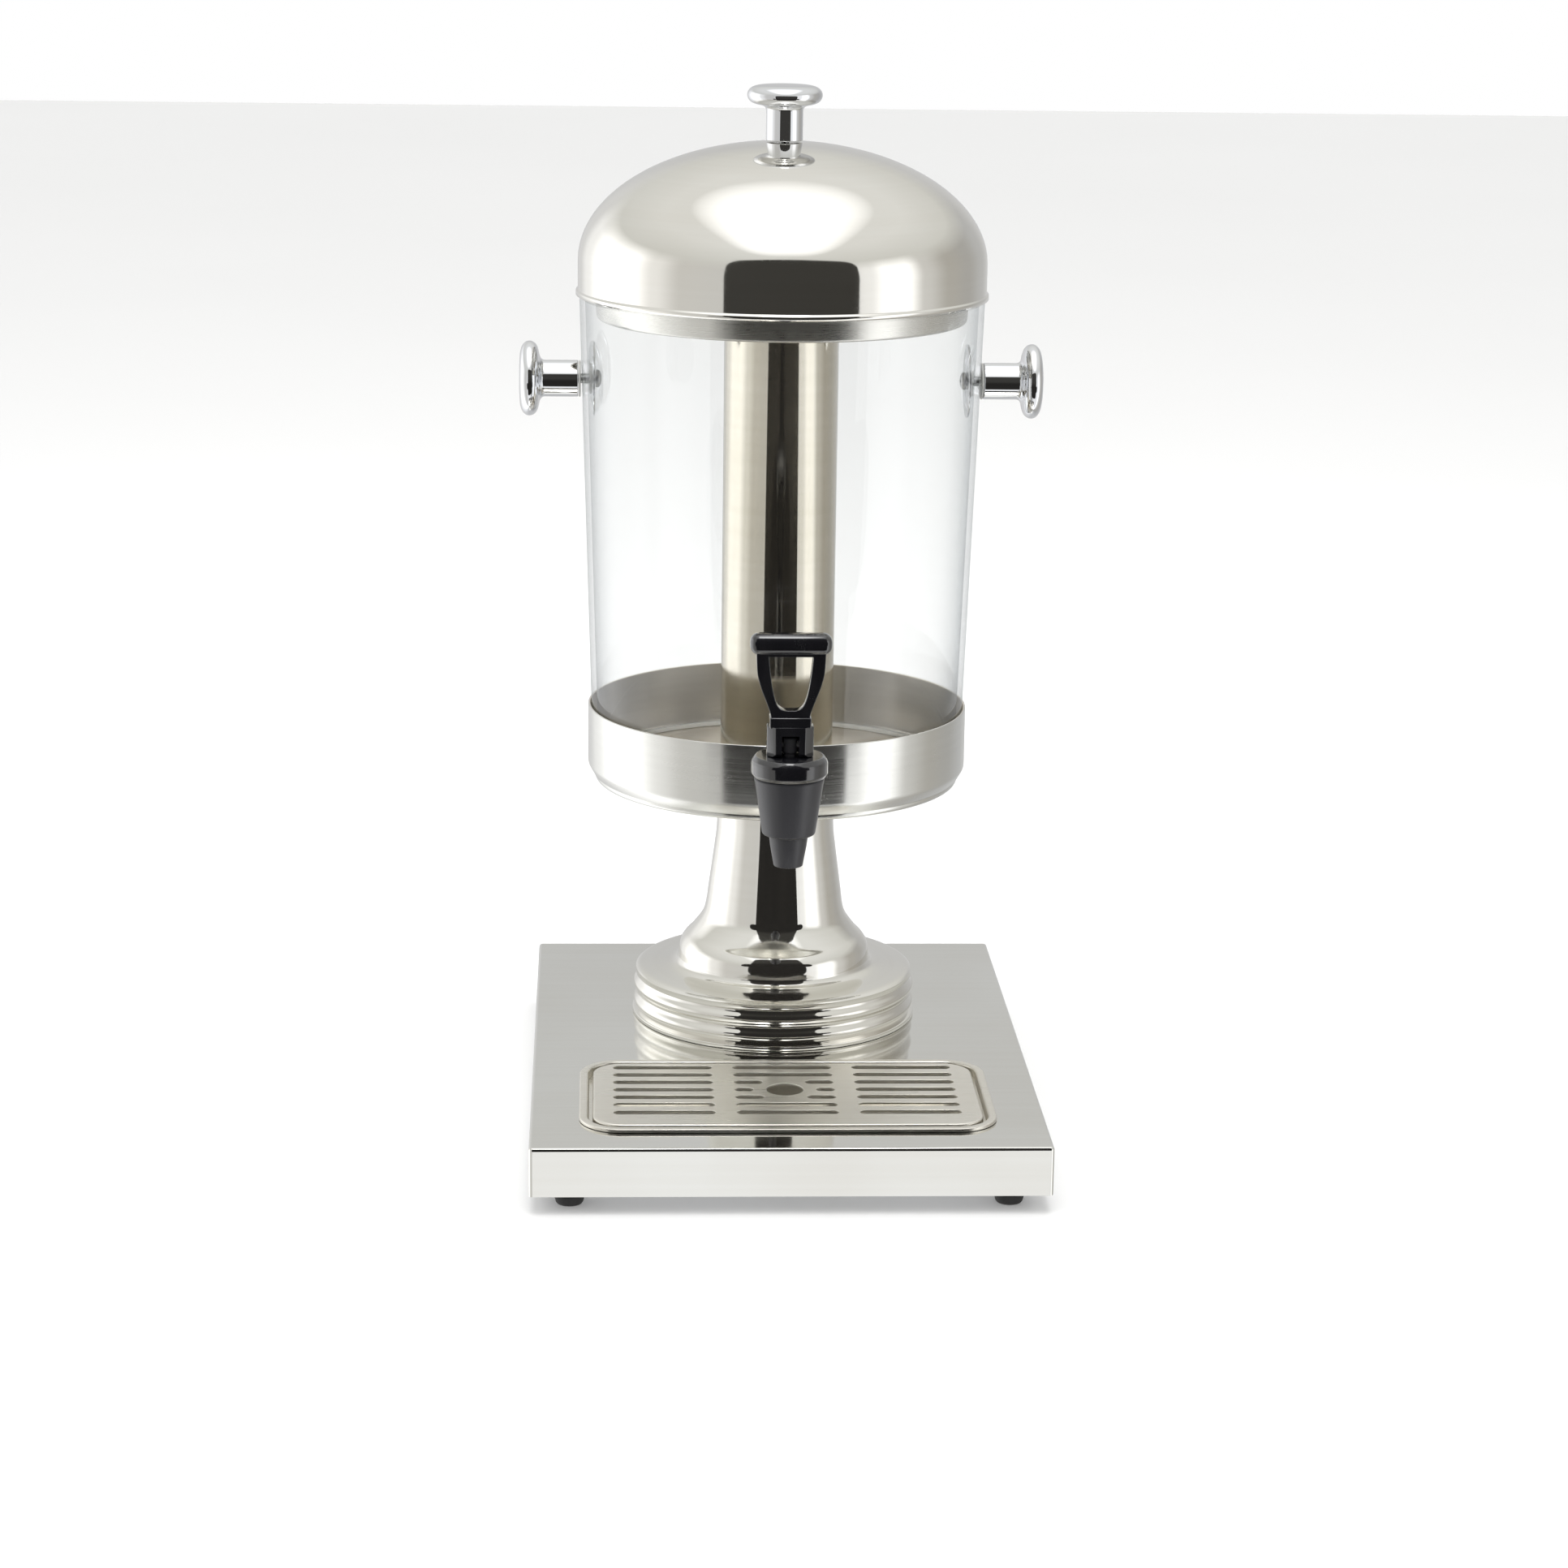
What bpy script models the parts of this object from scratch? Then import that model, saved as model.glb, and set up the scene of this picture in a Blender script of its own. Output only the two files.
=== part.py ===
"""Countertop cold drink dispenser with a clear tank, a lift-off domed lid, an ice tube and a lever tap.

Frame: +X to the user's right, +Y away from the user, +Z up. The origin is on the surface that the
feet stand on, under the middle of the base. Sizes are in millimetres, and heights marked "above the
base" are counted from the base's top face. The helpers turn everything into metres.
"""
import math

import bmesh
import bpy
from mathutils import Matrix, Vector

MM = 0.001
GAP = 0.3                     # clearance between pieces that rest on each other
WELD = 0.00001                # merge distance in metres

# base and feet
BASE_WIDTH = 260.0
BASE_DEPTH = 355.0
BASE_HEIGHT = 25.2
SHEET = 1.2
FOOT_HEIGHT = 10.0
FOOT_RADIUS = 8.0
FOOT_INSET_X = 20.0
FOOT_INSET_Y = 20.0
BASE_TOP = FOOT_HEIGHT + BASE_HEIGHT
CORNERS = {"front_left": (-1, -1), "front_right": (1, -1), "back_left": (-1, 1), "back_right": (1, 1)}

# everything round stands on this axis, behind the middle of the base
AXIS_Y = 51.7
FINE = 36                     # facets round the tank, the pan and the lid
MEDIUM = 26
SMALL = 16

# drip tray and grille
TRAY_Y = -99.2
TRAY_HALF = (105.4, 55.8)
TRAY_CORNER = 22.0
TRAY_RIM_TOP = 2.0
TRAY_LEDGE = -3.2             # the grille's turned-down edge stands on this ledge
TRAY_DEPTH = 20.0
RIM_WIDTH = 4.4
LEDGE_INSET = 9.5             # from the rim's outer edge to the inside of the lower wall
CUTOUT_INSET = 2.8
CUTOUT_CORNER = 14.0
GRILLE_INSET = 6.8
GRILLE_TOP = 2.1
GRILLE_SHEET = 1.2
SLOT_ROWS = 7
SLOT_PITCH = 11.9
SLOT_WIDTH = 5.6
SLOT_LENGTH = 51.4
SLOT_COLUMN = 62.3
SLOTS_Y = -93.1
FINGER_HOLE = 9.5
FINGER_RING = 16.2

# pedestal
NECK_TOP = 136.5
RIB_RADIUS = 75.5
RIB_HEIGHT = 1.0
RIB_PITCH = 9.5
RIB_CREST = 17.0
RIB_TOP = 23.4
RIB_BOTTOM = 3.0

# pan, tank and ice tube
PAN_RADIUS = 101.5
PAN_TOP = 172.9
PAN_FLOOR = 138.0
PAN_UNDERSIDE = 136.8
TANK_FOOT = 140.9
TANK_TOP = 391.5
TANK_RADIUS_FOOT = 98.8
TANK_RADIUS_TOP = 106.5
TANK_WALL = 3.0
TUBE_RADIUS = 30.2
TUBE_SHEET = 1.0
TUBE_TOP = 378.2
TUBE_FLOOR = 141.4
BOLT_RADIUS = 4.0
BOLT_HOLE = 4.6

# lid
CAP_RADIUS = 107.3
CAP_HEIGHT = 62.3
CAP_BASE = 410.0
BEAD_RADIUS = 108.4
BEAD_TOP = 394.5
BEAD_BOTTOM = 392.4
LID_SHEET = 1.0
KNOB_TOP = 501.4
KNOB_SCREW = 2.5
KNOB_BORE = 2.9
KNOB_BORE_DEPTH = 14.0

# side handles
HANDLE_Z = 347.5
HANDLE_TIP = 138.0
STEM_RADIUS = 9.6
DISC_RADIUS = 19.3

# tap
TAP_Y = -93.5
SHANK_Z = 153.0
SHANK_RADIUS = 8.0
SHANK_BORE = 5.5
SHANK_HOLE = 8.4
NECK_RADIUS = 9.6
SHANK_END = -31.0
CUP_TOP = 168.0
CUP_BOTTOM = 138.0
CUP_ROOM = 14.0               # radius of the room for the seat cup at the top of the tap's cup
OUTLET_BORE = 5.0
COLLAR_RADIUS = 11.8          # collar that the outer washer sits against, and the washers themselves
COLLAR_FRONT = -56.0
SHOULDER = -52.4              # front of the outer washer
TAP_WASHER = 2.0
NOZZLE_BOTTOM = 121.6
SEAT_Z = 146.0
BONNET_TOP = 179.0
PIVOT_Z = 185.0
PIN_RADIUS = 1.9
PIN_HOLE = 2.15
HUB_SIZE = (23.5, 16.0)
HUB_TOP = 194.8
HEEL_RELIEF = 9.2             # distance from the tap's axis at which the hub's heels are cut back
FORK_WIDTH = 8.6
LEDGE_SIZE = (21.0, 12.6)
LOOP_BOTTOM = 198.5
LOOP_TOP = 232.0
LOOP_THICKNESS = 7.2
LOOP_HALF_WIDTHS = ((0.0, 9.6), (0.1, 10.4), (0.25, 12.2), (0.38, 13.9), (0.5, 15.3), (0.7, 16.9),
                    (1.0, 17.4))
OPENING_BOTTOM = 202.6
OPENING_TOP = 230.0
OPENING_HALF = 11.1
OPENING_POWER = 4.5           # the higher, the squarer the foot of the opening
BAR_SIZE = (41.1, 11.4)
BAR_BOTTOM = 230.7
BAR_TOP = 241.8


def clear_scene():
    """Remove every object, mesh, curve and collection that the file opened with."""
    for item in list(bpy.data.objects):
        bpy.data.objects.remove(item)
    for group in list(bpy.data.collections):
        bpy.data.collections.remove(group)


def make_collection(name):
    """Return a new collection linked to the scene."""
    group = bpy.data.collections.new(name)
    bpy.context.scene.collection.children.link(group)
    return group


clear_scene()
PARTS = make_collection("drink_dispenser")
CUTTERS = make_collection("cutters")


def finish(name, colour, roughness, metallic, alpha=1.0):
    """Return a Principled material."""
    material = bpy.data.materials.new(name)
    material.use_nodes = True
    shader = material.node_tree.nodes["Principled BSDF"]
    shader.inputs["Base Color"].default_value = (*colour, 1.0)
    shader.inputs["Roughness"].default_value = roughness
    shader.inputs["Metallic"].default_value = metallic
    shader.inputs["Alpha"].default_value = alpha
    return material


FINISHES = {
    "polished": ((0.80, 0.78, 0.73), 0.10, 1.0),
    "brushed": ((0.70, 0.68, 0.64), 0.30, 1.0),
    "chrome": ((0.86, 0.87, 0.88), 0.04, 1.0),
    "clear": ((0.92, 0.95, 0.97), 0.05, 0.0, 0.3),
    "silicone": ((0.86, 0.86, 0.83), 0.45, 0.0),
    "rubber": ((0.02, 0.02, 0.02), 0.70, 0.0),
    "satin_black": ((0.035, 0.035, 0.040), 0.35, 0.0),
    "gloss_black": ((0.008, 0.008, 0.009), 0.08, 0.0),
    "zinc": ((0.60, 0.61, 0.62), 0.35, 1.0),
}


def add_object(name, mesh, look, place, group=None):
    """Link a mesh as an object at a place given in millimetres, with its own material."""
    item = bpy.data.objects.new(name, mesh)
    (group or PARTS).objects.link(item)
    item.location = Vector(place) * MM
    if look:
        mesh.materials.append(finish(name, *FINISHES[look]))
    return item


def mesh_from(bm, name, smooth=True):
    """Turn a bmesh in millimetres into a mesh in metres."""
    bmesh.ops.scale(bm, verts=bm.verts, vec=(MM, MM, MM))
    bmesh.ops.recalc_face_normals(bm, faces=bm.faces)
    mesh = bpy.data.meshes.new(name)
    bm.to_mesh(mesh)
    bm.free()
    if smooth:
        mesh.shade_smooth()
        mesh.set_sharp_from_angle(angle=math.radians(35))
    return mesh


def turned(name, profile, look, place=(0, 0, 0), steps=MEDIUM, ring=True, wall=0.0, group=None):
    """Spin a profile of (radius, height) points round Z.

    The profile runs down the outer side. A ring's profile closes on itself, any other profile ends
    on the axis, and a profile with a wall is the outer skin of a shell of that thickness.
    """
    bm = bmesh.new()
    points = [bm.verts.new((radius * MM, 0, height * MM)) for radius, height in profile]
    for start, end in zip(points, points[1:]):
        bm.edges.new((start, end))
    if ring and not wall:
        bm.edges.new((points[-1], points[0]))
    mesh = bpy.data.meshes.new(name)
    bm.to_mesh(mesh)
    bm.free()
    item = add_object(name, mesh, look, place, group)
    screw = item.modifiers.new("turn", "SCREW")
    screw.steps = screw.render_steps = steps
    screw.use_merge_vertices = True
    screw.merge_threshold = WELD
    if wall:
        shell = item.modifiers.new("wall", "SOLIDIFY")
        shell.thickness = wall * MM
        shell.offset = -1
        shell.use_even_offset = True
    return item


def rod(name, radius, low, high, look, place, steps=SMALL, group=None):
    """Return a plain round bar along Z."""
    profile = [(0, high), (radius, high), (radius, low), (0, low)]
    return turned(name, profile, look, place, steps, ring=False, group=group)


def washer(name, inner, outer, low, high, look, place=(0, 0, 0), steps=SMALL):
    """Return a flat ring along Z."""
    profile = [(inner, high), (outer, high), (outer, low), (inner, low)]
    return turned(name, profile, look, place, steps)


def lay_along(item, direction):
    """Turn an object that was made along +Z so that it points along the given direction."""
    item.rotation_mode = "QUATERNION"
    item.rotation_quaternion = Vector((0, 0, 1)).rotation_difference(Vector(direction))
    return item


def rounded_block(bm, half_x, half_y, corner, low, high, centre=(0, 0), segments=5):
    """Add a block with rounded upright edges to a bmesh and return its faces."""
    made = bmesh.ops.create_cube(bm, size=2)
    size = Matrix.Diagonal((half_x, half_y, (high - low) / 2, 1))
    place = Matrix.Translation((centre[0], centre[1], (low + high) / 2))
    bmesh.ops.transform(bm, matrix=place @ size, verts=made["verts"])
    upright = [edge for edge in {e for v in made["verts"] for e in v.link_edges}
               if abs(edge.verts[0].co.z - edge.verts[1].co.z) > (high - low) / 2]
    bmesh.ops.bevel(bm, geom=upright, offset=corner, segments=segments, profile=0.5, affect="EDGES")


def flat_face(bm, height, facing):
    """Return the largest face at a height that faces up (1) or down (-1)."""
    found = [face for face in bm.faces
             if face.normal.z * facing > 0.9 and abs(face.calc_center_median().z - height) < 0.01]
    return max(found, key=lambda face: face.calc_area())


def step_in(bm, height, facing, inset, shift):
    """Inset the flat face at a height and push the inner part up or down by shift."""
    bm.normal_update()
    face = flat_face(bm, height, facing)
    bmesh.ops.inset_region(bm, faces=[face], thickness=inset, use_even_offset=True, use_boundary=True)
    made = bmesh.ops.extrude_face_region(bm, geom=[face])
    moved = [part for part in made["geom"] if isinstance(part, bmesh.types.BMVert)]
    bmesh.ops.translate(bm, verts=moved, vec=(0, 0, shift))
    if face.is_valid:
        bmesh.ops.delete(bm, geom=[face], context="FACES_ONLY")
    bm.normal_update()


def combine(item, tool, operation="DIFFERENCE"):
    """Cut a tool out of an object, or join it on, and hide the tool."""
    change = item.modifiers.new(operation.lower(), "BOOLEAN")
    change.operation = operation
    change.solver = "EXACT"
    change.object = tool
    tool.hide_render = True
    tool.display_type = "WIRE"


def hex_block(name, across_flats, low, high, look, place, group=None):
    """Return a hexagonal prism along Z."""
    bm = bmesh.new()
    radius = across_flats / math.sqrt(3)
    bmesh.ops.create_cone(bm, cap_ends=True, segments=6, radius1=radius, radius2=radius, depth=high - low)
    bmesh.ops.translate(bm, verts=bm.verts, vec=(0, 0, (low + high) / 2))
    return add_object(name, mesh_from(bm, name, smooth=False), look, place, group)


def hex_nut(name, across_flats, bore, low, high, look, place):
    """Return a hexagonal nut along Z with a plain bore, and its bore cutter."""
    nut = hex_block(name, across_flats, low, high, look, place)
    hole = rod(name + "_bore", bore, low - 1, high + 1, None, place, group=CUTTERS)
    combine(nut, hole)
    return nut, hole


def arc(centre_r, centre_z, radius, start, end, count):
    """Return points on an arc, with angles in degrees from the outward direction."""
    angles = [math.radians(start + (end - start) * step / count) for step in range(count + 1)]
    return [(centre_r + radius * math.cos(a), centre_z + radius * math.sin(a)) for a in angles]


def joint_origin(name, place, pieces):
    """Put an empty on a joint's axis and parent the pieces that move with it."""
    empty = bpy.data.objects.new(name, None)
    PARTS.objects.link(empty)
    empty.location = Vector(place) * MM
    for piece in pieces:
        piece.location = piece.location - empty.location
        piece.parent = empty
    return empty


def on_axis(height=0.0):
    """Return the place on the body's upright axis at a height above the base."""
    return (0, AXIS_Y, BASE_TOP + height)


# ---------------------------------------------------------------- base

def make_base():
    """Folded sheet box, open below, with a cut-out for the tray and a hole for the centre bolt."""
    bm = bmesh.new()
    bmesh.ops.create_cube(bm, size=2)
    size = Matrix.Diagonal((BASE_WIDTH / 2, BASE_DEPTH / 2, BASE_HEIGHT / 2, 1))
    bmesh.ops.transform(bm, matrix=size, verts=bm.verts)
    bm.normal_update()
    underside = [face for face in bm.faces if face.normal.z < -0.9]
    bmesh.ops.delete(bm, geom=underside, context="FACES_ONLY")
    folds = [edge for edge in bm.edges if not edge.is_boundary]
    bmesh.ops.bevel(bm, geom=folds, offset=1.6, segments=2, profile=0.5, affect="EDGES")
    centre = (0, 0, BASE_TOP - BASE_HEIGHT / 2)
    shell = add_object("base_shell", mesh_from(bm, "base_shell"), "polished", centre)
    wall = shell.modifiers.new("wall", "SOLIDIFY")
    wall.thickness = SHEET * MM
    wall.offset = -1
    wall.use_even_offset = True

    bm = bmesh.new()
    half_x, half_y = (half - CUTOUT_INSET for half in TRAY_HALF)
    rounded_block(bm, half_x, half_y, CUTOUT_CORNER, -6, 6)
    cutout = add_object("tray_cutout", mesh_from(bm, "tray_cutout"), None, (0, TRAY_Y, BASE_TOP), CUTTERS)
    combine(shell, cutout)
    combine(shell, rod("base_bolt_hole", BOLT_HOLE, -4, 4, None, on_axis(), group=CUTTERS))

    bm = bmesh.new()
    clear = SHEET + GAP
    rounded_block(bm, BASE_WIDTH / 2 - clear, BASE_DEPTH / 2 - clear, 2.0, 0, SHEET, segments=1)
    plate = add_object("base_bottom_plate", mesh_from(bm, "base_bottom_plate"), "zinc", (0, 0, FOOT_HEIGHT))
    for corner, place in foot_places().items():
        hole = rod("plate_hole_" + corner, 2.3, -3, 3, None, (*place, FOOT_HEIGHT), 12, CUTTERS)
        combine(plate, hole)


def foot_places():
    """Return the X and Y of each foot."""
    reach_x = BASE_WIDTH / 2 - FOOT_INSET_X
    reach_y = BASE_DEPTH / 2 - FOOT_INSET_Y
    return {corner: (side * reach_x, end * reach_y) for corner, (side, end) in CORNERS.items()}


def make_feet():
    """Rubber feet, each held by a screw from below and a nut inside the base."""
    rubber = [(2.3, FOOT_HEIGHT - GAP), (FOOT_RADIUS, FOOT_HEIGHT - GAP), (6.9, 0.8), (6.3, 0), (4.4, 0),
              (4.4, 5.0), (2.3, 5.0)]
    screw = [(0, 16.5), (2.0, 16.5), (2.0, 4.7), (3.9, 4.7), (3.9, 3.2), (2.6, 2.2), (0, 2.2)]
    plate_top = FOOT_HEIGHT + SHEET
    for corner, (x, y) in foot_places().items():
        turned("rubber_foot_" + corner, rubber, "rubber", (x, y, 0), 14)
        turned("foot_screw_" + corner, screw, "zinc", (x, y, 0), 12, ring=False)
        hex_nut("foot_nut_" + corner, 7.0, 2.3, plate_top + GAP, plate_top + 3.4, "zinc", (x, y, 0))


# ---------------------------------------------------------------- drip tray

def make_tray():
    """Pressed tray with a raised rim, hung in the base's cut-out by its rim."""
    bm = bmesh.new()
    rounded_block(bm, *TRAY_HALF, TRAY_CORNER, GAP, TRAY_RIM_TOP)
    inner_step = LEDGE_INSET - RIM_WIDTH
    step_in(bm, TRAY_RIM_TOP, 1, RIM_WIDTH, TRAY_LEDGE - TRAY_RIM_TOP)
    step_in(bm, TRAY_LEDGE, 1, inner_step, SHEET - TRAY_DEPTH - TRAY_LEDGE)
    ledge_underside = TRAY_LEDGE - SHEET
    step_in(bm, GAP, -1, RIM_WIDTH - SHEET, ledge_underside - GAP)
    step_in(bm, ledge_underside, -1, inner_step, -TRAY_DEPTH - ledge_underside)
    crest = [edge for edge in bm.edges
             if all(abs(vert.co.z - TRAY_RIM_TOP) < 0.01 for vert in edge.verts)
             and any(abs(face.normal.z) < 0.5 for face in edge.link_faces)]
    bmesh.ops.bevel(bm, geom=crest, offset=0.7, segments=2, profile=0.5, affect="EDGES")
    tray = add_object("drip_tray", mesh_from(bm, "drip_tray"), "brushed", (0, TRAY_Y, BASE_TOP))
    joint_origin("tray_lift_axis", (0, TRAY_Y, BASE_TOP), [tray])


def make_grille():
    """Slotted plate whose turned-down edge stands on the tray's ledge."""
    bm = bmesh.new()
    half_x, half_y = (half - GRILLE_INSET for half in TRAY_HALF)
    foot = TRAY_LEDGE + GAP
    rounded_block(bm, half_x, half_y, TRAY_CORNER - GRILLE_INSET, foot, GRILLE_TOP)
    step_in(bm, foot, -1, GRILLE_SHEET, GRILLE_TOP - GRILLE_SHEET - foot)
    grille = add_object("drip_grille", mesh_from(bm, "drip_grille"), "brushed", (0, TRAY_Y, BASE_TOP))
    combine(grille, make_slots())
    combine(grille, rod("finger_hole", FINGER_HOLE, -4, 8, None, (0, SLOTS_Y, BASE_TOP), 24, CUTTERS))
    joint_origin("grille_lift_axis", (0, TRAY_Y, BASE_TOP), [grille])


def make_slots():
    """Three columns of drain slots. The middle ones stop at the plain ring round the finger hole."""
    bm = bmesh.new()
    half_length = SLOT_LENGTH / 2
    half_width = SLOT_WIDTH / 2
    for row in range(SLOT_ROWS):
        y = SLOT_PITCH * (row - (SLOT_ROWS - 1) / 2)
        spans = [(side * SLOT_COLUMN - half_length, side * SLOT_COLUMN + half_length) for side in (-1, 1)]
        if abs(y) < FINGER_RING:
            ring = math.sqrt(FINGER_RING ** 2 - y ** 2)
            spans += [(-half_length, -ring), (ring, half_length)]
        else:
            spans.append((-half_length, half_length))
        for start, end in spans:
            middle = ((start + end) / 2, y)
            rounded_block(bm, (end - start) / 2, half_width, half_width * 0.96, -4, 8, middle, 2)
    return add_object("grille_slots", mesh_from(bm, "grille_slots"), None, (0, SLOTS_Y, BASE_TOP), CUTTERS)


# ---------------------------------------------------------------- pedestal and centre bolt

def make_pedestal():
    """Spun neck on a ribbed drum."""
    ribs = []
    count = 10
    for step in range(count):
        height = RIB_TOP + (RIB_BOTTOM - RIB_TOP) * step / (count - 1)
        swell = math.cos(2 * math.pi * (height - RIB_CREST) / RIB_PITCH)
        ribs.append((RIB_RADIUS + RIB_HEIGHT * swell, height))
    neck = [(BOLT_HOLE, NECK_TOP), (28.4, NECK_TOP), (31.0, NECK_TOP - 1.0), (31.4, NECK_TOP - 3), (31.6, 106),
            (32.8, 94), (34.4, 82), (36.0, 70), (37.2, 61), (38.7, 55.7)]
    flare = [(41.2, 51.6), (45.4, 46.2), (48.7, 42.8), (50.8, 39.4), (51.6, 36.0), (51.9, 31.2)]
    shoulder = [(53.6, 28.8), (57.6, 27.5), (66.0, 26.8), (73.2, 26.2), (75.0, 25.0)]
    foot = [(77.0, 2.2), (77.0, GAP)]
    turned("pedestal", neck + flare + shoulder + ribs + foot, "polished", on_axis(), MEDIUM, wall=SHEET)


def make_centre_bolt():
    """Bolt that clamps the tube, the pan, the pedestal and the base together, with its washers and nut."""
    head_low = TUBE_FLOOR + SHEET + 1.6
    shank = rod("centre_bolt", BOLT_RADIUS, -14, head_low + 2, "zinc", on_axis())
    head = hex_block("centre_bolt_head", 13.0, head_low, head_low + 5.5, None, on_axis(), CUTTERS)
    combine(shank, head, "UNION")
    washer("bolt_seal_washer", 4.3, 11.0, TUBE_FLOOR + SHEET + GAP, head_low - GAP, "silicone", on_axis())
    washer("base_washer", 4.3, 13.0, -SHEET - GAP - 1.4, -SHEET - GAP, "zinc", on_axis())
    nut_top = -SHEET - 2 * GAP - 1.4
    hex_nut("base_nut", 13.0, 4.3, nut_top - 6.5, nut_top, "zinc", on_axis())


# ---------------------------------------------------------------- pan, tank and ice tube

def make_pan():
    """Shallow steel pan that the tank stands in, with a bead rolled round its lower edge."""
    inner = PAN_RADIUS - SHEET
    rim = [(inner, PAN_TOP - 0.6), (inner + 0.4, PAN_TOP), (PAN_RADIUS - 0.3, PAN_TOP),
           (PAN_RADIUS, PAN_TOP - 0.5)]
    corner = [(PAN_RADIUS, 142.5), (101.0, 138.9), (99.5, 135.8)]
    bead = arc(95.6, 134.0, 2.2, -10, -200, 5)
    floor = [(91.6, PAN_UNDERSIDE), (BOLT_HOLE, PAN_UNDERSIDE), (BOLT_HOLE, PAN_FLOOR)]
    fillet = arc(inner - 3.3, PAN_FLOOR + 3.3, 3.3, -90, 0, 3)
    pan = turned("bottom_pan", rim + corner + bead + floor + fillet, "brushed", on_axis(), FINE)
    combine(pan, shank_hole("pan_hole", -60, -46))


def tank_radius(height):
    """Return the tank's outer radius at a height above the base."""
    share = (height - TANK_FOOT) / (TANK_TOP - TANK_FOOT)
    return TANK_RADIUS_FOOT + share * (TANK_RADIUS_TOP - TANK_RADIUS_FOOT)


def shank_hole(name, start, end):
    """Return a cutter along Y for the tap's shank."""
    hole = rod(name, SHANK_HOLE, 0, end - start, None, (0, start, BASE_TOP + SHANK_Z), SMALL, CUTTERS)
    return lay_along(hole, (0, 1, 0))


def make_tank():
    """Clear tapered tank wall, open at both ends, standing on a seal in the pan."""
    foot, top = TANK_RADIUS_FOOT, TANK_RADIUS_TOP
    profile = [(top - TANK_WALL + 0.5, TANK_TOP), (top - 0.5, TANK_TOP), (top, TANK_TOP - 0.5),
               (foot, TANK_FOOT), (foot - TANK_WALL, TANK_FOOT), (top - TANK_WALL, TANK_TOP - 0.5)]
    tank = turned("tank", profile, "clear", on_axis(), FINE)
    combine(tank, shank_hole("tank_tap_hole", -58, -36))
    for side in (-1, 1):
        start = side * (tank_radius(HANDLE_Z) - 10)
        place = (start, AXIS_Y, BASE_TOP + HANDLE_Z)
        hole = rod("tank_handle_hole", KNOB_BORE, 0, 20, None, place, 12, CUTTERS)
        combine(tank, lay_along(hole, (side, 0, 0)))
    washer("tank_seal_ring", 94.6, 97.8, PAN_FLOOR + 0.4, TANK_FOOT - GAP, "silicone", on_axis(), FINE)


def make_ice_tube():
    """Upright tube for ice, closed below, with a flange that the centre bolt clamps on a gasket."""
    outer, inner = TUBE_RADIUS, TUBE_RADIUS - TUBE_SHEET
    rim = arc(outer - 0.3, TUBE_TOP - 0.8, 0.8, 150, -60, 4)
    foot = [(outer, TUBE_FLOOR + 2.2), (33.3, TUBE_FLOOR + 1.4), (33.3, TUBE_FLOOR), (BOLT_HOLE, TUBE_FLOOR)]
    floor = [(BOLT_HOLE, TUBE_FLOOR + SHEET), (inner, TUBE_FLOOR + SHEET)]
    turned("ice_tube", rim + [(outer, TUBE_TOP - 2.4)] + foot + floor, "brushed", on_axis(), MEDIUM)
    washer("tube_gasket", BOLT_HOLE, 33.6, PAN_FLOOR + GAP, TUBE_FLOOR - GAP, "silicone", on_axis(), MEDIUM)


# ---------------------------------------------------------------- lid and knobs

def knob_profile(length):
    """Profile of a turned knob of a given length: a domed head on a plain stem, bored from below."""
    head = [(0, length), (10.0, length - 0.1), (15.0, length - 0.7), (18.3, length - 2.3), (19.6, length - 5.0),
            (19.2, length - 7.4), (17.2, length - 9.4), (13.6, length - 10.4), (11.2, length - 11.0)]
    stem = [(STEM_RADIUS, length - 12.4), (STEM_RADIUS, 0.4), (STEM_RADIUS - 0.4, 0), (KNOB_BORE, 0)]
    return head + stem + [(KNOB_BORE, KNOB_BORE_DEPTH), (0, KNOB_BORE_DEPTH)]


def knob_screw(name, place, shank_length):
    """Pan-head screw along +Z. The place is under its head."""
    profile = [(0, shank_length), (KNOB_SCREW, shank_length), (KNOB_SCREW, 0), (4.7, 0), (4.7, -1.8),
               (3.4, -2.9), (0, -2.9)]
    return turned(name, profile, "zinc", place, 14, ring=False)


def make_lid():
    """Domed lid with a beaded edge, an inner locating ring and a screwed knob."""
    cap = []
    count = 10
    for step in range(1, count + 1):
        angle = math.radians(90 - 90 * step / count)
        cap.append((CAP_RADIUS * math.cos(angle), CAP_BASE + CAP_HEIGHT * math.sin(angle)))
    crown = [(3.4, CAP_BASE + CAP_HEIGHT * math.sqrt(1 - (3.4 / CAP_RADIUS) ** 2))]
    edge = [(CAP_RADIUS, BEAD_TOP + 1.2), (BEAD_RADIUS, BEAD_TOP - 0.3), (BEAD_RADIUS, BEAD_BOTTOM)]
    dome = turned("lid_dome", crown + cap + edge, "polished", on_axis(), FINE, wall=LID_SHEET)

    low = TANK_TOP + 0.4
    flange = [(97.0, low + 1), (105.9, low + 1), (105.9, low), (98.2, low), (98.0, low - 0.8), (97.4, 381.6)]
    roll = arc(96.0, 381.4, 1.4, 0, -230, 5)
    ring = turned("lid_inner_ring", flange + roll, "polished", on_axis(), FINE)

    base = CAP_BASE + CAP_HEIGHT + GAP
    knob = turned("lid_knob", knob_profile(KNOB_TOP - base), "chrome", on_axis(base), 20, ring=False)
    washer_top = base - GAP - LID_SHEET - 0.5
    pad = washer("lid_knob_washer", 2.8, 8.0, washer_top - 1.2, washer_top, "zinc", on_axis(), 16)
    screw = knob_screw("lid_knob_screw", on_axis(washer_top - 1.5), 14.0)
    joint_origin("lid_lift_axis", on_axis(TANK_TOP), [dome, ring, knob, pad, screw])


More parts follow.
